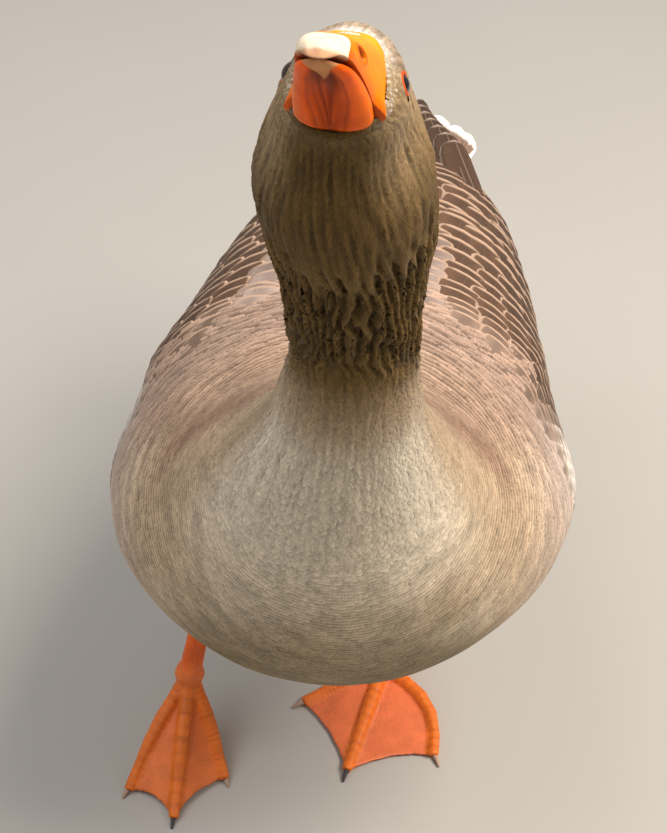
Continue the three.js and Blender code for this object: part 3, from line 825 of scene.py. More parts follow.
def feather_material(name, streak, strength):
    """Keratin barbs: matt, with a soft sheen. A feather is darkened where it comes out from under the next
    ones, painted shade of the row over it, and turns pale at its tip and edges, its own fringe, by as much as
    the coat's contrast says. Streaks along the lie are drawn every 0.8 mm."""
    made, tree = new_material(name)
    ground, along, middle, away, chance = vane_places(tree)
    curved = add_node(tree, "Math", {"operation": "POWER"}, _0=away, _1=3.0)
    side = add_node(tree, "MapRange", Value=curved, To_Max=0.4)
    tip = add_node(tree, "MapRange", SMOOTH, Value=along, From_Min=0.8, From_Max=0.985)
    rim = add_node(tree, "Math", {"operation": "MAXIMUM"}, _0=tip, _1=side)
    # Dark where the vane comes out from under the row above, painted shade of that row. Pale at the tip and
    # edges, the feather's own fringe.
    swing = add_node(tree, "MapRange", Value=rim, To_Min=-0.36, To_Max=0.24)
    edge = add_node(
        tree, "Math", {"operation": "MULTIPLY_ADD"}, _0=swing, _1=ground.outputs["Alpha"], _2=1.0,
    )
    height, lines = barbs(
        tree, middle, along, chance, (streak, 1.2), 40.0, 1 - strength, 1 + strength, 0.16,
    )
    factor = add_node(tree, "Math", MULTIPLY, _0=edge, _1=lines)
    shade = add_node(tree, "VectorMath", SCALE, Vector=ground, Scale=factor)
    bump = add_node(tree, "Bump", Height=height, Strength=0.3, Distance=0.0003)
    set_surface(
        tree, Base_Color=shade, Normal=bump, Roughness=0.74, Specular_IOR_Level=0.12, Sheen_Weight=0.04,
        Sheen_Roughness=0.5,
    )
    return made


EYE_RIM = 4.9          # mm, from the eye's middle to the face feathers' tips
SHORTEST = 0.8         # mm, of the feathers round the eye
LAST_FEATHER = 0.05    # the station of the last feathers over the tail's root
TIP = 0.75             # the share along a feather at which it takes its colour from the coat
CREVICE_SHADE = 0.86

# Silky breast feathers, with paler tips; hairy neck feathers; short face feathers.
breast_barbs = feather_material("breast_feather_barbs", 7.0, 0.2)
neck_barbs = feather_material("neck_feather_barbs", 4.0, 0.2)

COAT = np.array((
    # station, and in mm: gap along, gap across, length, width, depth of the root, stand of the tip, thickness
    (0.0, 5.5, 9.0, 26.0, 20.0, 2.0, 0.2, 0.2),
    (3.0, 5.0, 8.0, 25.0, 18.0, 2.0, 0.16, 0.18),
    (5.2, 3.8, 5.6, 19.0, 13.6, 1.4, 0.1, 0.12),
    (6.8, 3.0, 4.2, 14.0, 10.4, 0.95, 0.06, 0.09),
    (8.0, 2.6, 3.0, 11.0, 7.4, 0.75, 0.05, 0.08),
    (8.9, 2.2, 2.0, 9.0, 3.8, 0.6, 0.05, 0.07),
    (10.0, 2.2, 1.6, 7.6, 2.0, 0.5, 0.08, 0.08),
    (10.9, 1.8, 1.5, 5.6, 2.1, 0.6, 0.2, 0.18),
    (12.9, 1.7, 1.5, 5.6, 2.1, 0.6, 0.2, 0.18),
    (13.5, 1.8, 1.4, 8.5, 1.9, 0.4, 0.03, 0.07),
    (15.4, 1.5, 1.3, 6.0, 1.8, 0.3, 0.01, 0.06),
    (17.0, 1.2, 1.2, 4.0, 1.6, 0.25, 0.01, 0.05),
))
COAT_PIECES = (
    # name, lowest station, shape, material, share of its own shading
    ("face_feathers", 15.2, TUFT, neck_barbs, HEAD_NORMAL),
    ("head_feathers", 13.2, TUFT, neck_barbs, HEAD_NORMAL),
    ("neck_feathers", 10.2, TUFT, neck_barbs, OWN_NORMAL),
    ("crop_feathers", 8.7, TUFT, breast_barbs, OWN_NORMAL),
    ("breast_feathers", 6.9, VANE, breast_barbs, OWN_NORMAL),
    ("flank_feathers", 4.6, VANE, breast_barbs, OWN_NORMAL),
    ("belly_feathers", 0.05, VANE, breast_barbs, OWN_NORMAL),
)
STREAK = (0.13, 0.13, 0.26)   # how strongly the coat is streaked at the breast, the neck and the head
coat_form = Form(body.place(grid_row, grid_column, relief(grid_row, grid_column)))


def coat(station):
    """The coat's sizes at a station, in metres, in the table's order."""
    return [np.interp(station, COAT[:, 0], COAT[:, k]) * MM for k in range(1, 8)]


def contrast(station, angle):
    """How strongly a feather's pale tip stands out from its darker middle, which is partly its own tone and
    partly painted shade from the row over it.
    """
    up = np.sin(np.radians(angle))
    value = 0.5 + 0.5 * ease(station, 9.0, 7.0)
    value = value + 0.1 * ease(station, 9.0, 7.0) * ease(up, 0.0, 0.5)
    value = value - 0.45 * ease(station, 5.6, 4.4) * ease(up, -0.5, -0.9)
    return value * (1 - 0.5 * ease(station, 13.1, 13.6))


dice = np.random.default_rng(100)
gap, across = coat(grid_station)[:2]
row, column = staggered(body, gap, across, dice, 0.3 * waves(body.points, 0.03, 31))
station, angle = LAST - row / ROWS, column * 360 / COLUMNS
length, width, depth, stand, thick = coat(station)[2:]
share, back = wing_share(station, angle)
kept = ~((share > 0.08) & (share < 0.97) & (back > -0.02) & (back < 0.94))
ragged = 0.16 + 0.34 * ease(station, 8.2, 9.6)
length = length + coat(station)[0] * ragged * dice.uniform(-1, 1, len(row))
roots = body.at(body.points, row, column)
for eye in eye_places.values():
    clear = np.linalg.norm(roots - eye, axis=1) ** 2 - ((EYE["radius"] - EYE["bulge"]) * MM) ** 2
    room = np.sqrt(np.maximum(clear, 0)) - EYE_RIM * MM
    kept &= room > SHORTEST * MM
    length = np.minimum(length, np.maximum(room, SHORTEST * MM))
width = width * dice.uniform(0.9, 1.1, len(row))
stand = stand * dice.uniform(0.4, 1.3, len(row))
ridge, strength, phase = furrow(row, column)
swing = dice.normal(0, 1, len(row)) * (3 + 5 * ease(station, 8.4, 9.6)) + strength * 24 * np.sign(phase - 0.5)
border = station + dice.uniform(-0.3, 0.3, len(row)) * ease(station, 0.5, 1.0)
upper = np.inf
for name, lower, shape, material, own in COAT_PIECES:
    here = kept & (border <= upper) & (border > lower) & (station > LAST_FEATHER)
    upper = lower
    r, c = row[here], column[here]
    sizes = [size[here] for size in (length, width, depth, swing, stand, thick)]
    tip_row = np.minimum(r + TIP * sizes[0] / body.at(body.row_step, r, c), body.rows - 1.01)
    sideways = TIP * sizes[0] * np.sin(np.radians(sizes[3])) / body.at(body.column_step, r, c)
    tip_column = (c + sideways) % COLUMNS
    tip_station = LAST - tip_row / ROWS
    colours = ground_colour(tip_station, angle[here], body.at(body.points, tip_row, tip_column))
    ridge, strength, _ = furrow(tip_row, tip_column)
    strongly = np.interp(tip_station, (9.0, 12.8, 13.6), STREAK)
    colours = colours * (1 + strongly * streaks(tip_row, tip_column, tip_station))[:, None]
    # Feathers in the furrows' valleys are darkened towards the furrow colour: painted shade where the ridges
    # shade the valleys.
    colours = blended(colours, ("crevice", CREVICE_SHADE * strength * (1 - ridge) ** 1.3))
    grow(
        name, body, r, c, sizes, shape, colours, dice, material, "plumage", own,
        contrast(tip_station, angle[here]), hills=relief, smooth=coat_form,
    )

# Tiny white feathers cover the collar round the bill.
row, column = staggered(collar, 0.9 * MM, 1.0 * MM, dice, jitter=0.22)
kept = row < COLLAR["rows"] + 1
row, column = row[kept], column[kept]
up = np.sin(column * math.tau / COLUMNS)
tame = 1 - 0.5 * ease(up, -0.2, -0.7)
sizes = (
    dice.uniform(1.5, 3.2, len(row)) * tame * MM, 1.5 * MM, 0.25 * MM, dice.normal(0, 14, len(row)) * tame,
    dice.uniform(0, 0.1, len(row)) * MM, 0.05 * MM,
)
# The collar's underside takes the throat's brown, with its painted shade.
colours = blended(COLOURS["cheek"], ("throat", ease(up, -0.1, -0.7)))
fleck = dice.uniform(0, 1.6, len(row)) ** 3 * ease(up, -0.9, -0.2)
colours = blended(colours, ("white", 0.11 * fleck + 0.55 * ease(up, 0.4, 0.95)))
colours = colours * dice.uniform(0.8, 1.15, (len(row), 1))
grow(
    "collar_feathers", collar, row, column, sizes, TUFT, colours, dice, neck_barbs, "plumage",
    contrast=0.3, patches=(0.004, 0.004),
)

# ---- Thigh feathers ---------------------------------------------------------------------------------------
# Short soft feathers cover the thighs to the hocks, where they end in a loose fringe.

for number, (side, form) in enumerate(thighs.items()):
    dice = np.random.default_rng(200 + number)
    row, column = staggered(form, 3.4 * MM, 4.8 * MM, dice)
    kept = (row > 3) & (row < form.rows - 7)
    row, column = row[kept], column[kept]
    length = 15 * MM * dice.uniform(0.85, 1.15, len(row))
    sizes = (length, 8.5 * MM, 2.2 * MM, dice.normal(0, 7, len(row)), 0.3 * MM, 0.25 * MM)
    colours = blended(COLOURS["buff"], ("white", 0.4 * ease(row / form.rows, 0.3, 0.9)))
    grow(
        f"thigh_feathers_{side}", form, row, column, sizes, VANE, colours, dice, breast_barbs, "plumage",
        contrast=0.6,
    )

# ---- Wings ------------------------------------------------------------------------------------------------
# The folded wing is roofed with coverts and long flight feathers low down, which sweep up and back from
# the wrist, and with broad round scapulars near the back. All are brown with a pale pinkish fringe.

WING_LONG, WING_DEEP = 275, 160     # mm, along the folded wing and from its low edge up to the back
WINGS = {"left": 1, "right": -1}
SCAPULARS = 0.52     # share up the wing above which the feathers are scapulars
ROW_RISE, ROW_BEND = 0.26, 0.42     # shares by which a row of coverts sweeps back, and up which it does so
ROWS_START, ROWS_END = -0.42, 0.86  # shares back along the wing between which the rows start
FEATHERS_FROM, FEATHERS_TO = -0.13, 0.88
mix_colours(covert="#513b2c", scapular="#5f4635", flight="#4a382c", tailbrown="#836a59")


def plume_material(name, fringe, rim, end, dark, shaft=0.4):
    """A large feather's keratin: satin, with slanting barbs drawn every 1.3 mm, a pale shaft, and a fringe
    of another colour outside the shares rim across and end along."""
    made, tree = new_material(name)
    ground, along, middle, away, chance = vane_places(tree)
    slant = add_node(tree, "Math", {"operation": "MULTIPLY_ADD"}, _0=away, _1=-0.16, _2=along)
    height, lines = barbs(tree, slant, middle, chance, (48.0, 1.6), 60.0, 0.86, 1.16, 0.12)
    inner = add_node(tree, "MapRange", SMOOTH, Value=away, From_Max=rim, To_Min=dark, To_Max=1.05)
    factor = add_node(tree, "Math", MULTIPLY, _0=inner, _1=lines)
    vane_colour = add_node(tree, "VectorMath", SCALE, Vector=ground, Scale=factor)
    side = add_node(tree, "MapRange", SMOOTH, Value=away, From_Min=rim, From_Max=min(1.0, rim + 0.12))
    tip = add_node(tree, "MapRange", SMOOTH, Value=along, From_Min=end - 0.03, From_Max=min(1.0, end + 0.03))
    outer = add_node(tree, "MapRange", Value=along, From_Min=0.45, From_Max=0.85)
    side = add_node(tree, "Math", MULTIPLY, _0=side, _1=outer)
    pale = add_node(tree, "Math", {"operation": "MAXIMUM"}, _0=side, _1=tip)
    fringed = add_node(tree, "MixRGB", Fac=pale, Color1=vane_colour, Color2=linear(fringe))
    quill = add_node(tree, "MapRange", Value=away, From_Min=0.02, From_Max=0.06, To_Min=shaft, To_Max=0.0)
    shafted = add_node(tree, "MixRGB", Fac=quill, Color1=fringed, Color2=linear("#a08a76"))
    bump = add_node(tree, "Bump", Height=height, Strength=0.3, Distance=0.0004)
    set_surface(tree, Base_Color=shafted, Normal=bump, Roughness=0.62, Specular_IOR_Level=0.3)
    return made


wing_keratin = plume_material("wing_feather_keratin", "#b89a83", 0.8, 0.935, 0.72, 0.05)
quill_keratin = plume_material("flight_feather_keratin", "#c9b4a0", 0.9, 0.97, 0.8)
tail_keratin = plume_material("tail_feather_keratin", "#f0ece3", 0.86, 0.88, 0.85)


def wing_place(share, back, sign):
    """The station and angle of a place of the folded wing, the left one's where sign is 1."""
    low, high = wing_edges(back)
    angle = low + (high - low) * share
    return wing_front(share) + (WING["back"] - wing_front(share)) * back, angle if sign > 0 else 180 - angle


def covert_places(dice):
    """The wing's rows of feathers: shares up the wing and back along it, and gaps between rows in mm."""
    found = []
    start, odd = ROWS_START, 0
    while start < ROWS_END:
        gap = 8.0 + 6.5 * ease(start, -0.3, 0.0) + 4.0 * np.clip(start, 0, 1)
        share = -0.02 + 0.5 * odd * 6.0 / WING_DEEP
        while share < 1.09:
            scapular = share > SCAPULARS
            back = start + ROW_RISE * ease(share, -0.05, ROW_BEND)
            back += dice.uniform(-0.05, 0.05) * gap / WING_LONG
            if FEATHERS_FROM < back < FEATHERS_TO:
                found.append((share, back, gap * (1 + 0.35 * scapular)))
            steep = 1 + 0.7 * ease(share, ROW_BEND, 0.2)
            step = (8.5 + 8.5 * share) / steep * dice.uniform(0.94, 1.06) / WING_DEEP * (1 + 0.5 * scapular)
            share += step * (1 + 0.5 * odd * (share < SCAPULARS < share + step))
        start += gap * (1.15 if start > 0 else 1) / WING_LONG
        odd = 1 - odd
    return np.array(found).T


for number, (side, sign) in enumerate(WINGS.items()):
    dice = np.random.default_rng(300 + number)
    share, back, gap = covert_places(dice)
    station, angle = wing_place(share, back, sign)
    length = np.minimum(gap * (1.9 + 1.3 * ease(back, -0.13, 0.08)), (1.05 - back) * WING_LONG)
    length = length + gap * dice.uniform(-0.14, 0.14, len(share))
    front = ease(back, -0.12, 0.1)
    width = (8.5 + 8.5 * share) * (1.95 + 0.3 * (share > SCAPULARS)) * (0.66 + 0.34 * front)
    downwards = 6 + 36 * ease(share, ROW_BEND + 0.1, 0.1) * ease(back, 0.75, 0.35)
    swing = -sign * downwards * ease(share, 1.05, 0.85) + dice.normal(0, 2.5, len(share))
    row, column = (LAST - station) * ROWS, (angle % 360) * COLUMNS / 360
    sizes = (
        length * MM, width * MM, (1.6 + 1.6 * front) * MM, swing,
        (0.1 + 0.3 * front * dice.uniform(0.4, 1.4, len(row))) * MM, (0.2 + 0.2 * front) * MM,
    )
    tip = back + 0.85 * length / WING_LONG
    tip_share = share - 0.85 * length * np.sin(np.radians(downwards)) / WING_DEEP
    tip_place = wing_place(tip_share, tip, sign)
    around = ground_colour(*tip_place, body_place(*tip_place))
    colours = blended(
        COLOURS["covert"],
        ("scapular", ease(share, 0.4, 0.75)),
        ("flight", ease(share, 0.45, 0.1) * ease(back, 0.3, 0.6)),
    )
    colours = colours + (around - colours) * (0.6 * ease(tip, 0.07, -0.04))[:, None]
    colours = blended(
        colours,
        # The scapulars' tops by the back are paler rose: a painted highlight of light on the back.
        ("rose", 0.6 * ease(share, 0.88, 0.98) * ease(tip, 0.4, 0.2)),
        ("white", 1.5 * wrist_patch(tip_share, tip, side)),
    )
    made = grow(
        f"wing_feathers_{side}", body, row, column, sizes, COVERT, colours, dice, wing_keratin,
        "wing_feathers", 0.7, sag=0.4 * MM,
    )
    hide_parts(f"wing_{side}")

# ---- Flight quills ----------------------------------------------------------------------------------------
# The tips of the flight feathers lie over the rump as a narrow blade on each side, the shorter inner
# ones on top and the long outer ones under them.

QUILLS = dict(centre=6, root=(50, 190, 321), tip=(13, 366, 295), half=19, thick=8)
QUILLS_EACH, QUILLS_LONG = 7, 182


def plate_form(face, rows, columns):
    """A flat form from face(across, along, up), where across runs -1 to 1 over its top and back under it."""
    turn = np.linspace(0, math.tau, columns, endpoint=False)
    along, turn = np.meshgrid(np.linspace(0, 1, rows), turn, indexing="ij")
    return Form((face(np.cos(turn), along, np.sin(turn)) + OVER_ORIGIN) * MM)


def quill_face(sign):
    """The surface of one side's blade of quills, in mm."""

    def face(across, along, up):
        root, tip = np.array(QUILLS["root"], float), np.array(QUILLS["tip"], float)
        point = root + (tip - root) * along[..., None]
        half = QUILLS["half"] * np.sqrt(np.maximum(0.02, 1 - along**4)) * (1.25 - 0.45 * along)
        thick = (QUILLS["thick"] + (2.5 - QUILLS["thick"]) * along) / 2
        out = across * half
        x = QUILLS["centre"] + sign * (point[..., 0] + out)
        high = point[..., 2] + thick * (1 + up) - 0.0065 * out**2
        return np.stack([x, point[..., 1] + 0.3 * out, high], -1)

    return face


for number, (side, sign) in enumerate(WINGS.items()):
    dice = np.random.default_rng(320 + number)
    form = plate_form(quill_face(sign), 60, 72)
    share = np.linspace(0, 1, QUILLS_EACH)
    column = np.degrees(np.arccos(0.62 - 1.05 * share)) * form.columns / 360
    length = (0.52 + 0.42 * share) * QUILLS_LONG - share * 30
    sizes = (length * MM, (26 - 6 * share) * MM, 1.5 * MM, 0, (2.6 - 3.2 * share) * MM, 0.6 * MM)
    colours = blended(COLOURS["covert"], ("flight", share))
    grow(
        f"flight_quills_{side}", form, 0.5 + share * 14, column, sizes, PLUME, colours, dice, quill_keratin,
        "wing_feathers", 1.5, sag=1.0 * MM,
    )

# ---- Tail -------------------------------------------------------------------------------------------------
# A short rounded fan of sixteen brown-grey feathers with broad white ends, the middle pair on top, held
# between white coverts above and below.

TAIL = dict(root=(4, 240, 284), length=148, root_half=36, tip_half=65, round=23, droop=8, thick=26, edge=3)
TAIL_FEATHERS = 16


def tail_face(across, along, up):
    """The surface of the fan, in mm."""
    half = TAIL["root_half"] + (TAIL["tip_half"] - TAIL["root_half"]) * along
    reach = (TAIL["length"] - TAIL["round"] * across**2) * along
    thick = TAIL["thick"] + (TAIL["edge"] - TAIL["thick"]) * np.sqrt(along)
    x, y, z = TAIL["root"]
    arch = 0.16 * half * across**2
    return np.stack([x + across * half, y + reach, z - TAIL["droop"] * along**2 - arch + up * thick / 2], -1)


tail_form = plate_form(tail_face, 80, 144)
dice = np.random.default_rng(340)


def tail_row(name, across, along, length, width, depth, stand, colour, top=True):
    """One set of the tail's feathers, at shares across and along the fan; lengths and sizes in mm."""
    turn = np.degrees(np.arccos(np.clip(across, -0.99, 0.99)))
    turn = turn if top else 360 - turn
    column, row = turn * tail_form.columns / 360, along * (tail_form.rows - 1)
    sizes = (
        length * MM, width * MM, depth * MM, dice.normal(0, 1.5, len(row)), stand * MM, 0.5 * MM,
    )
    colours = np.tile(COLOURS[colour], (len(row), 1))
    return grow(
        name, tail_form, row, column, sizes, PLUME, colours, dice, tail_keratin, "tail_feathers", 1.5,
        sag=0.6 * MM,
    )


fan = np.linspace(-0.94, 0.94, TAIL_FEATHERS)
reach = (TAIL["length"] - TAIL["round"] * fan**2) * 0.985 - 20
stand = 1.2 - 2.2 * np.abs(fan)
made = tail_row("tail_feathers", fan, np.full(TAIL_FEATHERS, 0.13), reach, 24, 2, stand, "tailbrown")
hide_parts("tail")
for name, rows, length, width, top in (
    ("tail_coverts_upper", (0.02, 0.1, 0.18, 0.27), 46, 21, True),
    ("tail_coverts_lower", (0.02, 0.12, 0.22, 0.32, 0.42, 0.52), 50, 22, False),
):
    across, along = (grid.ravel() for grid in np.meshgrid(np.linspace(-0.9, 0.9, 9), rows))
    across = across + dice.uniform(-0.05, 0.05, len(across))
    tail_row(name, across, along, length, width, 3, 0.6, "white", top)

# ---- Bill -------------------------------------------------------------------------------------------------
# A deep orange bill of horn over bone, with a satin surface. The upper half carries the nostrils and a
# cream nail at its tip; the lower half has two long rami, with a soft grooved skin between them.

BILL = dict(gap=0.3, gape=7, length=51, half=17.8, height=31.5, depth=9.9, tip_half=9.4, drop=2.2, nail=13)
BILL_TURN = math.radians(0.3)   # how far it turns to the right of the head
base_middle, head_end_ahead, base_back, head_end_left = ring_axes(np.array(float(LAST)))
base_left = head_end_left * math.cos(BILL_TURN) + head_end_ahead * math.sin(BILL_TURN)
base_ahead = head_end_ahead * math.cos(BILL_TURN) - head_end_left * math.sin(BILL_TURN)


def in_bill(left, ahead, up):
    """A point in the bill's own axes, from the middle of the mouth's corners, in metres."""
    point = base_middle + base_left * left[..., None] + base_ahead * (ahead + BILL["gap"])[..., None]
    return (point + base_back * (up - BILL["gape"])[..., None] + OVER_ORIGIN) * MM


def rounded(s, power):
    return np.sqrt(np.maximum(0.04, 1 - np.clip(s, 0, 1) ** power))


def bill_half(s):
    s = np.clip(s, 0, 1)
    return (BILL["half"] + (BILL["tip_half"] - BILL["half"]) * s**0.85) * rounded(s, 9)


def gape_drop(s):
    """How far the mouth bends down towards its corners, in mm."""
    return BILL["drop"] * (1 - s) ** 3


def mouth_line(s):
    return 2.9 * np.sin(np.pi * np.clip(s, 0, 1)) - 1.4 * s - gape_drop(s)


def culmen(s):
    s = np.clip(s, 0, 1)
    return (BILL["height"] + (5.6 - BILL["height"]) * s**0.72) * rounded(s, 9) + gape_drop(s)


def boxed(value, power):
    """A round section's sine or cosine with its corners filled out."""
    return np.sign(value) * np.abs(value) ** power


def shell_object(name, points, colours, material, slot_name, node, soften=0):
    """A closed tube of rings in place of a node, with a colour at each point."""
    shape = bmesh.new()
    add_shell(shape, points)
    for _ in range(soften):
        bmesh.ops.smooth_vert(
            shape, verts=shape.verts, factor=0.5, use_axis_x=True, use_axis_y=True, use_axis_z=True,
        )
    made = new_object(name, shape)
    nearest = nearest_of(points, as_rows(made.data.vertices, "co"))
    set_colours(made.data, "ground", colours.reshape(-1, 3)[nearest])
    set_piece(made, material, slot_name, node)


def horn_material(name, roughness, grain, depth):
    """Horn: a satin skin of keratin with a fine lengthwise grain and soft blotches."""
    made, tree = new_material(name)
    place = add_node(tree, "TexCoord").outputs["Object"]
    blotch = add_node(tree, "TexNoise", Vector=place, Scale=95.0, Detail=3.0)
    fine = add_node(tree, "TexNoise", Vector=place, Scale=grain, Detail=3.0)
    tone = add_node(tree, "MapRange", Value=blotch, From_Min=0.3, From_Max=0.7, To_Min=0.86, To_Max=1.14)
    shade = add_node(tree, "VectorMath", SCALE, Vector=add_node(tree, "Attribute", GROUND), Scale=tone)
    rough = add_node(tree, "MapRange", Value=fine, To_Min=roughness - 0.08, To_Max=roughness + 0.12)
    bump = add_node(tree, "Bump", Height=fine, Strength=0.25, Distance=depth)
    set_surface(
        tree, Base_Color=shade, Roughness=rough, Normal=bump, Specular_IOR_Level=0.14, Subsurface_Weight=0.04,
        Subsurface_Radius=(0.003, 0.0012, 0.0006), Subsurface_Scale=1.0,
    )
    return made


bill_horn = horn_material("bill_horn", 0.36, 420.0, 0.0004)
nail_horn = horn_material("nail_horn", 0.45, 300.0, 0.0003)
BILL_RINGS, BILL_TURNS = 110, 128
mix_colours(
    bill="#f08405", bill_deep="#dc5204", bill_pale="#fba62c", gape="#7c2704", nostril="#5e0d03",
    rami="#fa6205", pouch="#9e3502", pouch_dark="#5f2002", nail="#e6d5bb", nail_low="#c98a58",
)

NOSTRIL = dict(ahead=31.0, up=9.0, long=4.4, high=1.9, deep=1.9)
TEETH_HIGH, TEETH_APART = 0.2, 1.7     # mm, of the fine comb along the upper half's edge
s, turn = np.meshgrid(
    np.linspace(-0.08, 1, BILL_RINGS), np.linspace(0, math.tau, BILL_TURNS, endpoint=False), indexing="ij",
)
wide = boxed(np.cos(turn), 0.6) * bill_half(s)
high = np.where(np.sin(turn) > 0, boxed(np.sin(turn), 0.75) * culmen(s), np.sin(turn) * 0.6)
low_part = ease(high, 9, 0)
wide = wide * (1 + low_part * (0.1 * ease(s, 0.16, 0.04) - 0.07 * ease(s, 0.1, 0.2) * ease(s, 0.85, 0.6)))
wide = wide * (1 - 0.17 * ease(s, 0.035, -0.08))
ahead, up = np.minimum(s, 0.965) * BILL["length"], mouth_line(s) + 0.9 + high
near = ((ahead - NOSTRIL["ahead"]) / NOSTRIL["long"]) ** 2 + ((up - NOSTRIL["up"]) / NOSTRIL["high"]) ** 2
near = near + 9 * (np.abs(wide) < 3)
pit = ease(near, 1.15, 0.45)
lip = ease(near, 3.2, 1.2) * ease(near, 0.9, 1.3)
wide = wide - np.sign(wide) * (NOSTRIL["deep"] * pit - 0.4 * lip)
teeth = TEETH_HIGH * np.sin(ahead * math.tau / TEETH_APART) * ease(high, 1.2, -0.4)
teeth = teeth * ease(s, 0.05, 0.15) * ease(s, 0.95, 0.8)
colours = blended(
    COLOURS["bill"],
    # Paler along the ridge, a painted highlight of light from above, and deeper orange low on the sides,
    # painted shade.
    ("bill_pale", 0.6 * ease(high / culmen(s), 0.55, 1.0)),
    ("bill_deep", 0.75 * ease(high, 5.5, 0.5)),
    ("bill_deep", 0.6 * ease(s, 0.6, 0.95)),
    ("bill_deep", 0.7 * lip),
    # The nostril pit is painted dark: painted shade of the opening.
    ("nostril", pit),
    # The upper half's underside, facing into the mouth's gap, is painted dark brown: painted shade of the
    # gap.
    ("gape", 0.6 * ease(high, -0.2, -0.6)),
)
shell_object("bill_upper_horn", in_bill(wide, ahead, up + teeth), colours, bill_horn, "bill", "bill_upper")

# The lower half: two smooth rami, with a wrinkled pouch of skin between them and a flat nail of its own.
deep = (BILL["depth"] + (2.9 - BILL["depth"]) * np.clip(s, 0, 1) ** 1.1) * rounded(s, 6) - gape_drop(s)
tucked = ease(s, 0.09, -0.05)
deep = deep * (1 - 0.4 * tucked)
across = boxed(np.cos(turn), 0.8)
wide = boxed(np.cos(turn), 0.8 + 0.7 * ease(s, 0.45, 0.0))
wide = wide * (bill_half(s) - 2.1 + 1.6 * ease(s, 0.0, 0.3) * ease(s, 1.0, 0.75)) * (1 - 0.15 * tucked)
under = np.sin(turn) < 0
between_rami = np.exp(-((across / 0.5) ** 4))
valley = between_rami * (0.14 + 0.44 * ease(s, 0.02, 0.5) * ease(s, 0.9, 0.72))
groove = np.exp(-(((np.abs(across) - 0.56) / 0.06) ** 2)) * 0.12 * ease(s, 0.8, 0.65) * ease(s, 0.0, 0.12)
folds = np.cos(across * 21 + 2.2 * np.sin(across * 6 + 4 * s)) * between_rami
folds = folds * ease(s, 0.75, 0.6) * ease(s, 0.05, 0.2)
hang = boxed(np.sin(turn), 0.8) * deep * (1 - valley - groove + 0.06 * folds)
high = np.where(under, hang, np.sin(turn) * 0.3)
nail_low = ease(np.abs(wide) / 8.8 + (14 * (1 - s) - high) / 7.6, 1.06, 0.93) * np.maximum(under, s > 0.88)
colours = blended(
    COLOURS["rami"],
    ("bill", 0.3 * ease(np.abs(across), 0.7, 0.95) * ease(s, 0.8, 0.3)),
    # The pouch is darker than the rami, partly its own duller skin and partly painted shade of the sunken
    # pouch and its folds. Near the nail and in the grooves by the rami it is dark brown, painted shade.
    ("pouch", between_rami * (0.75 - 0.3 * folds)),
    ("pouch_dark", 0.85 * between_rami * ease(s, 0.4, 0.72) + 3.0 * groove),
    # The lower half's top, facing into the mouth's gap, is painted dark brown: painted shade of the gap.
    ("gape", np.where(under, 0.0, 0.95)),
    ("nail_low", nail_low),
)
points = in_bill(wide, s * BILL["length"] * 0.95, mouth_line(s) - 0.8 + high - 0.4 * nail_low)
shell_object("bill_lower_horn", points, colours, bill_horn, "bill", "bill_lower")

# The nail is a smooth cream shield that wraps the bill's tip, a little proud of it, and hooks over its end.
NAIL_RINGS, NAIL_TURNS = 40, 96
NAIL_PROUD = 0.55       # mm
t, turn = np.meshgrid(
    1 - (1 - np.linspace(0, 1, NAIL_RINGS)) ** 1.7,
    np.linspace(0, math.tau, NAIL_TURNS, endpoint=False), indexing="ij",
)
rear = 1 - BILL["nail"] / BILL["length"] * (1 - 0.4 * np.abs(np.cos(turn)) ** 3)
s = rear + (1 - rear) * t
proud = NAIL_PROUD * np.sqrt(np.clip(t * 6, 0, 1))
hook = ease(s * BILL["length"], 46.0, 49.6)
below = 0.6 + 2.8 * hook
wide = boxed(np.cos(turn), 0.6) * (bill_half(s) + proud)
high = np.where(np.sin(turn) > 0, boxed(np.sin(turn), 0.75) * (culmen(s) + proud), np.sin(turn) * below)
colours = blended(COLOURS["nail"], ("nail_low", 0.75 * ease(high, 1.0, -1.2) + 0.3 * ease(t, 0.15, 0.0)))
shut = np.sqrt(np.maximum(1 - np.clip((t - 0.93) / 0.07, 0, 1) ** 2, 0.0004))
wide, high = wide * shut, 0.7 + (high - 0.7) * shut
ahead = np.minimum(s, 0.982) * BILL["length"] + 0.5 * t + 0.9 * (1 - shut)
points = in_bill(wide, ahead, mouth_line(s) + 0.9 + high)
shell_object("bill_nail_horn", points, colours, nail_horn, "bill_nail", "bill_nail", soften=16)

# ---- Eyes -------------------------------------------------------------------------------------------------
# Dark brown glossy eyes, set nearly flush in the sides of the head, each in a thin ring of bare orange lid.

LID = dict(long=4.5, high=4.0, thick=0.95, out=4.0, most=2.5)
LID_PROUD = {"left": 0.45, "right": 0.1}   # mm, by which the lid lies above the skin round it
EYE_AHEAD = {"left": 0.4, "right": 0.1}   # how far each eye is turned ahead


def turned_to(out, ahead):
    """The turn that takes +Z to out and +X near ahead."""
    out = Vector(out).normalized()
    x = (Vector(ahead) - Vector(ahead).dot(out) * out).normalized()
    return Matrix((x, out.cross(x), out)).transposed()


# The eyeball: a clear wet cornea over a dark brown iris, with a black pupil 5 mm across.
mix_colours(lid="#cf4f1b", iris="#2c1508", pupil="#050303")
eye_wet, tree = new_material("wet_eye")
place = add_node(tree, "TexCoord").outputs["Object"]
fibres = add_node(tree, "TexNoise", Vector=place, Scale=900.0, Detail=2.0)
tone = add_node(tree, "MapRange", Value=fibres, To_Min=0.7, To_Max=1.3)
shade = add_node(tree, "VectorMath", SCALE, Vector=add_node(tree, "Attribute", GROUND), Scale=tone)
set_surface(tree, Base_Color=shade, Roughness=0.06, IOR=1.38, Coat_Weight=1.0, Coat_Roughness=0.03)

# Bare lid skin: orange, satin, finely beaded every 0.8 mm.
lid_skin = horn_material("bare_lid_skin", 0.5, 900.0, 0.0003)

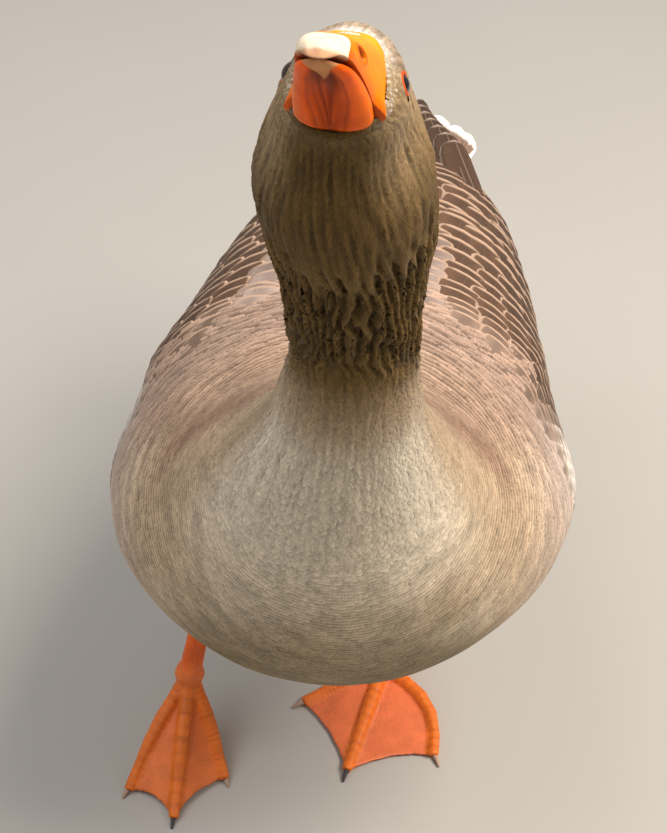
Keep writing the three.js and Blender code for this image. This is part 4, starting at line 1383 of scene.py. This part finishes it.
head_middle, head_ahead, head_back, _ = ring_axes(np.array(EYE["station"]))
for side, place in eye_places.items():
    centre = Vector(place)
    out = Vector(place - (head_middle + OVER_ORIGIN) * MM - head_back * 0.004).normalized()
    out = (out + Vector(head_ahead) * EYE_AHEAD[side]).normalized()
    turn = turned_to(out, head_ahead)
    shape = bmesh.new()
    bmesh.ops.create_uvsphere(shape, u_segments=40, v_segments=24, radius=EYE["radius"] * MM)
    bmesh.ops.transform(shape, matrix=Matrix.Translation(centre) @ turn.to_4x4(), verts=shape.verts)
    made = new_object(f"eyeball_{side}", shape)
    away = (as_rows(made.data.vertices, "co") - place) @ np.array(out) / (EYE["radius"] * MM)
    set_colours(made.data, "ground", blended(COLOURS["iris"], ("pupil", ease(away, 0.86, 0.92))))
    set_piece(made, eye_wet, "eye", f"eye_{side}")

    shape = bmesh.new()
    bmesh.ops.create_circle(shape, segments=12, radius=LID["thick"] * MM)
    bmesh.ops.rotate(shape, verts=shape.verts, cent=(0, 0, 0), matrix=Matrix.Rotation(math.pi / 2, 3, "X"))
    bmesh.ops.translate(shape, verts=shape.verts, vec=(LID["long"] * MM, 0, 0))
    bmesh.ops.spin(
        shape, geom=shape.edges[:], cent=(0, 0, 0), axis=(0, 0, 1), angle=math.tau, steps=56, use_merge=True,
    )
    bmesh.ops.scale(shape, verts=shape.verts, vec=(1, LID["high"] / LID["long"], 1))
    bmesh.ops.remove_doubles(shape, verts=shape.verts, dist=1e-6)
    bmesh.ops.recalc_face_normals(shape, faces=shape.faces)
    bmesh.ops.transform(
        shape, matrix=Matrix.Translation(centre + out * LID["out"] * MM) @ turn.to_4x4(), verts=shape.verts,
    )
    flats = [vert.co - out * ((vert.co - centre).dot(out) - LID["out"] * MM) for vert in shape.verts]
    for vert, flat, number in zip(shape.verts, flats, nearest_of(sunk, flats)):
        normal = Vector(body.normal.reshape(-1, 3)[number])
        fall = (flat - Vector(sunk.reshape(-1, 3)[number])).dot(normal) / max(out.dot(normal), 0.5)
        vert.co -= out * (max(min(fall, LID["most"] * MM), -LID["most"] * MM) - LID_PROUD[side] * MM)
    made = new_object(f"lid_{side}", shape)
    set_colours(made.data, "ground", COLOURS["lid"])
    set_piece(made, lid_skin, "eye")

# ---- Legs and feet ----------------------------------------------------------------------------------------
# Scaly orange shanks and toes with soft pinkish webs between them. One skin runs from the hock to the
# claws, with plates across the toes and small round scales on shank and web.

LEG_MESH = 0.0011


def leg_skin_material():
    """Bare scaly skin: orange, satin, with round scales 1.6 mm across drawn as bump."""
    made, tree = new_material("scaly_leg_skin")
    place = add_node(tree, "TexCoord").outputs["Object"]
    scales = add_node(tree, "TexVoronoi", {"feature": "DISTANCE_TO_EDGE"}, Vector=place, Scale=620.0)
    blotch = add_node(tree, "TexNoise", Vector=place, Scale=70.0, Detail=3.0)
    tone = add_node(tree, "MapRange", Value=blotch, From_Min=0.3, From_Max=0.7, To_Min=0.85, To_Max=1.15)
    distance = scales.outputs["Distance"]
    seam = add_node(tree, "MapRange", Value=distance, From_Max=0.12, To_Min=0.82)
    factor = add_node(tree, "Math", MULTIPLY, _0=tone, _1=seam)
    shade = add_node(tree, "VectorMath", SCALE, Vector=add_node(tree, "Attribute", GROUND), Scale=factor)
    round_scales = add_node(tree, "MapRange", SMOOTH, Value=distance, From_Max=0.25)
    bump = add_node(tree, "Bump", Height=round_scales, Strength=0.35, Distance=0.0003)
    set_surface(
        tree, Base_Color=shade, Normal=bump, Roughness=0.48, Subsurface_Weight=0.2,
        Subsurface_Radius=(0.004, 0.0015, 0.0008), Subsurface_Scale=1.0,
    )
    return made


scaly_skin = leg_skin_material()
mix_colours(
    shank="#e8620f", toe="#f07a1e", web="#ef7a48", seam="#b8440c", claw_dark="#4a4346", claw_pale="#b99a86",
)
LEGS = {
    # in mm: the ankle, and each toe's tip with its bow
    "left": dict(
        ankle=(23.5, 68.5, 8), toes=((-37, 29, 2, -3.5), (5.5, -31.5, 2, 0), (69.5, -11.5, 2, 29)),
    ),
    "right": dict(
        ankle=(-103.5, 6.5, 56), toes=((-71, -44, 1.2, 4.5), (-103.5, -82, 1.2, 0), (-141, -61, 1.2, -6.5)),
    ),
}
TOE_HALF, PLATE = 6.6, 3.4      # mm, from a toe's middle line to its web, and along one of its plates
SEAM_DEEP, TOE_HIGH = 0.32, 0.6     # mm, of the seams between plates, and of the toe over the web


def toe_line(ankle, toe):
    """Points down the middle of a toe, bowed sideways, in metres."""
    start = np.array((ankle[0], ankle[1], ankle[2] - 2.0))
    tip = np.array(toe[:3], float)
    run = tip - start
    sideways = np.array((-run[1], run[0], 0)) / math.hypot(run[0], run[1])
    end = tip - run / np.linalg.norm(run) * 9
    end[2] = toe[2] + 0.6
    middle = (start + end) / 2 + sideways * toe[3]
    t = np.linspace(0, 1, 80)[:, None]
    return ((1 - t) ** 2 * start + 2 * t * (1 - t) * middle + t * t * end + OVER_ORIGIN) * MM


for side, leg in LEGS.items():
    shape = bmesh.new()
    for node in (f"shank_{side}", f"foot_{side}"):
        shape.from_mesh(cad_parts[node].data)
    bmesh.ops.remove_doubles(shape, verts=shape.verts, dist=1e-5)
    made = new_object(f"leg_skin_{side}", shape)
    remeshed(made, LEG_MESH, 2)
    places, normals = as_rows(made.data.vertices, "co"), as_rows(made.data.vertex_normals, "vector")
    best, run = np.full(len(places), 1.0), np.zeros(len(places))
    for toe in leg["toes"]:
        line = toe_line(leg["ankle"], toe)
        length = np.linalg.norm(np.diff(line, axis=0), axis=1).sum()
        gaps = np.linalg.norm(places[:, None] - line[None, ::2], axis=-1)
        closest = gaps.min(1)
        share = gaps.argmin(1) / (len(line[::2]) - 1)
        run = np.where(closest < best, share * length, run)
        best = np.minimum(best, closest)
    on_toe = ease(best / MM, TOE_HALF, 4.8)
    top = ease(normals[:, 2], -0.1, 0.35)
    plates = np.abs(np.sin(run * math.pi / (PLATE * MM))) ** 0.4
    raised = (TOE_HIGH - SEAM_DEEP * (1 - plates)) * on_toe * top * MM
    places = places + normals * raised[:, None]
    made.data.vertices.foreach_set("co", places.astype(np.float32).ravel())
    height = places[:, 2] / MM
    above = ease(height, leg["ankle"][2] + 4, leg["ankle"][2] + 16)
    colours = blended(
        COLOURS["web"],
        # The swinging right foot's webs are mostly toe-orange, partly their own deeper orange and partly
        # painted light for the light the body's shadow keeps off them.
        ("toe", np.maximum(on_toe, 0.6 * (side == "right"))),
        ("seam", 0.55 * (1 - plates) * on_toe * top),
        ("shank", above),
    )
    set_colours(made.data, "ground", colours)
    set_piece(made, scaly_skin, "leg_skin", f"shank_{side}", f"foot_{side}")

# ---- Claws ------------------------------------------------------------------------------------------------
# Blunt curved claws of horn, dark grey on the middle toes and pale on the others.

claw_horn = horn_material("claw_horn", 0.42, 500.0, 0.0003)
for side in LEGS:
    for name in ("inner", "middle", "outer"):
        shape = bmesh.new()
        shape.from_mesh(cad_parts[f"claw_{side}_{name}"].data)
        bmesh.ops.remove_doubles(shape, verts=shape.verts, dist=1e-5)
        made = new_object(f"claw_horn_{side}_{name}", shape)
        rounder = made.modifiers.new("rounder", "SUBSURF")
        rounder.levels = rounder.render_levels = 2
        apply_modifiers(made)
        set_colours(made.data, "ground", COLOURS["claw_dark" if name == "middle" else "claw_pale"])
        set_piece(made, claw_horn, "claw", f"claw_{side}_{name}")

# ---- Finish -----------------------------------------------------------------------------------------------

low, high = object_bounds()
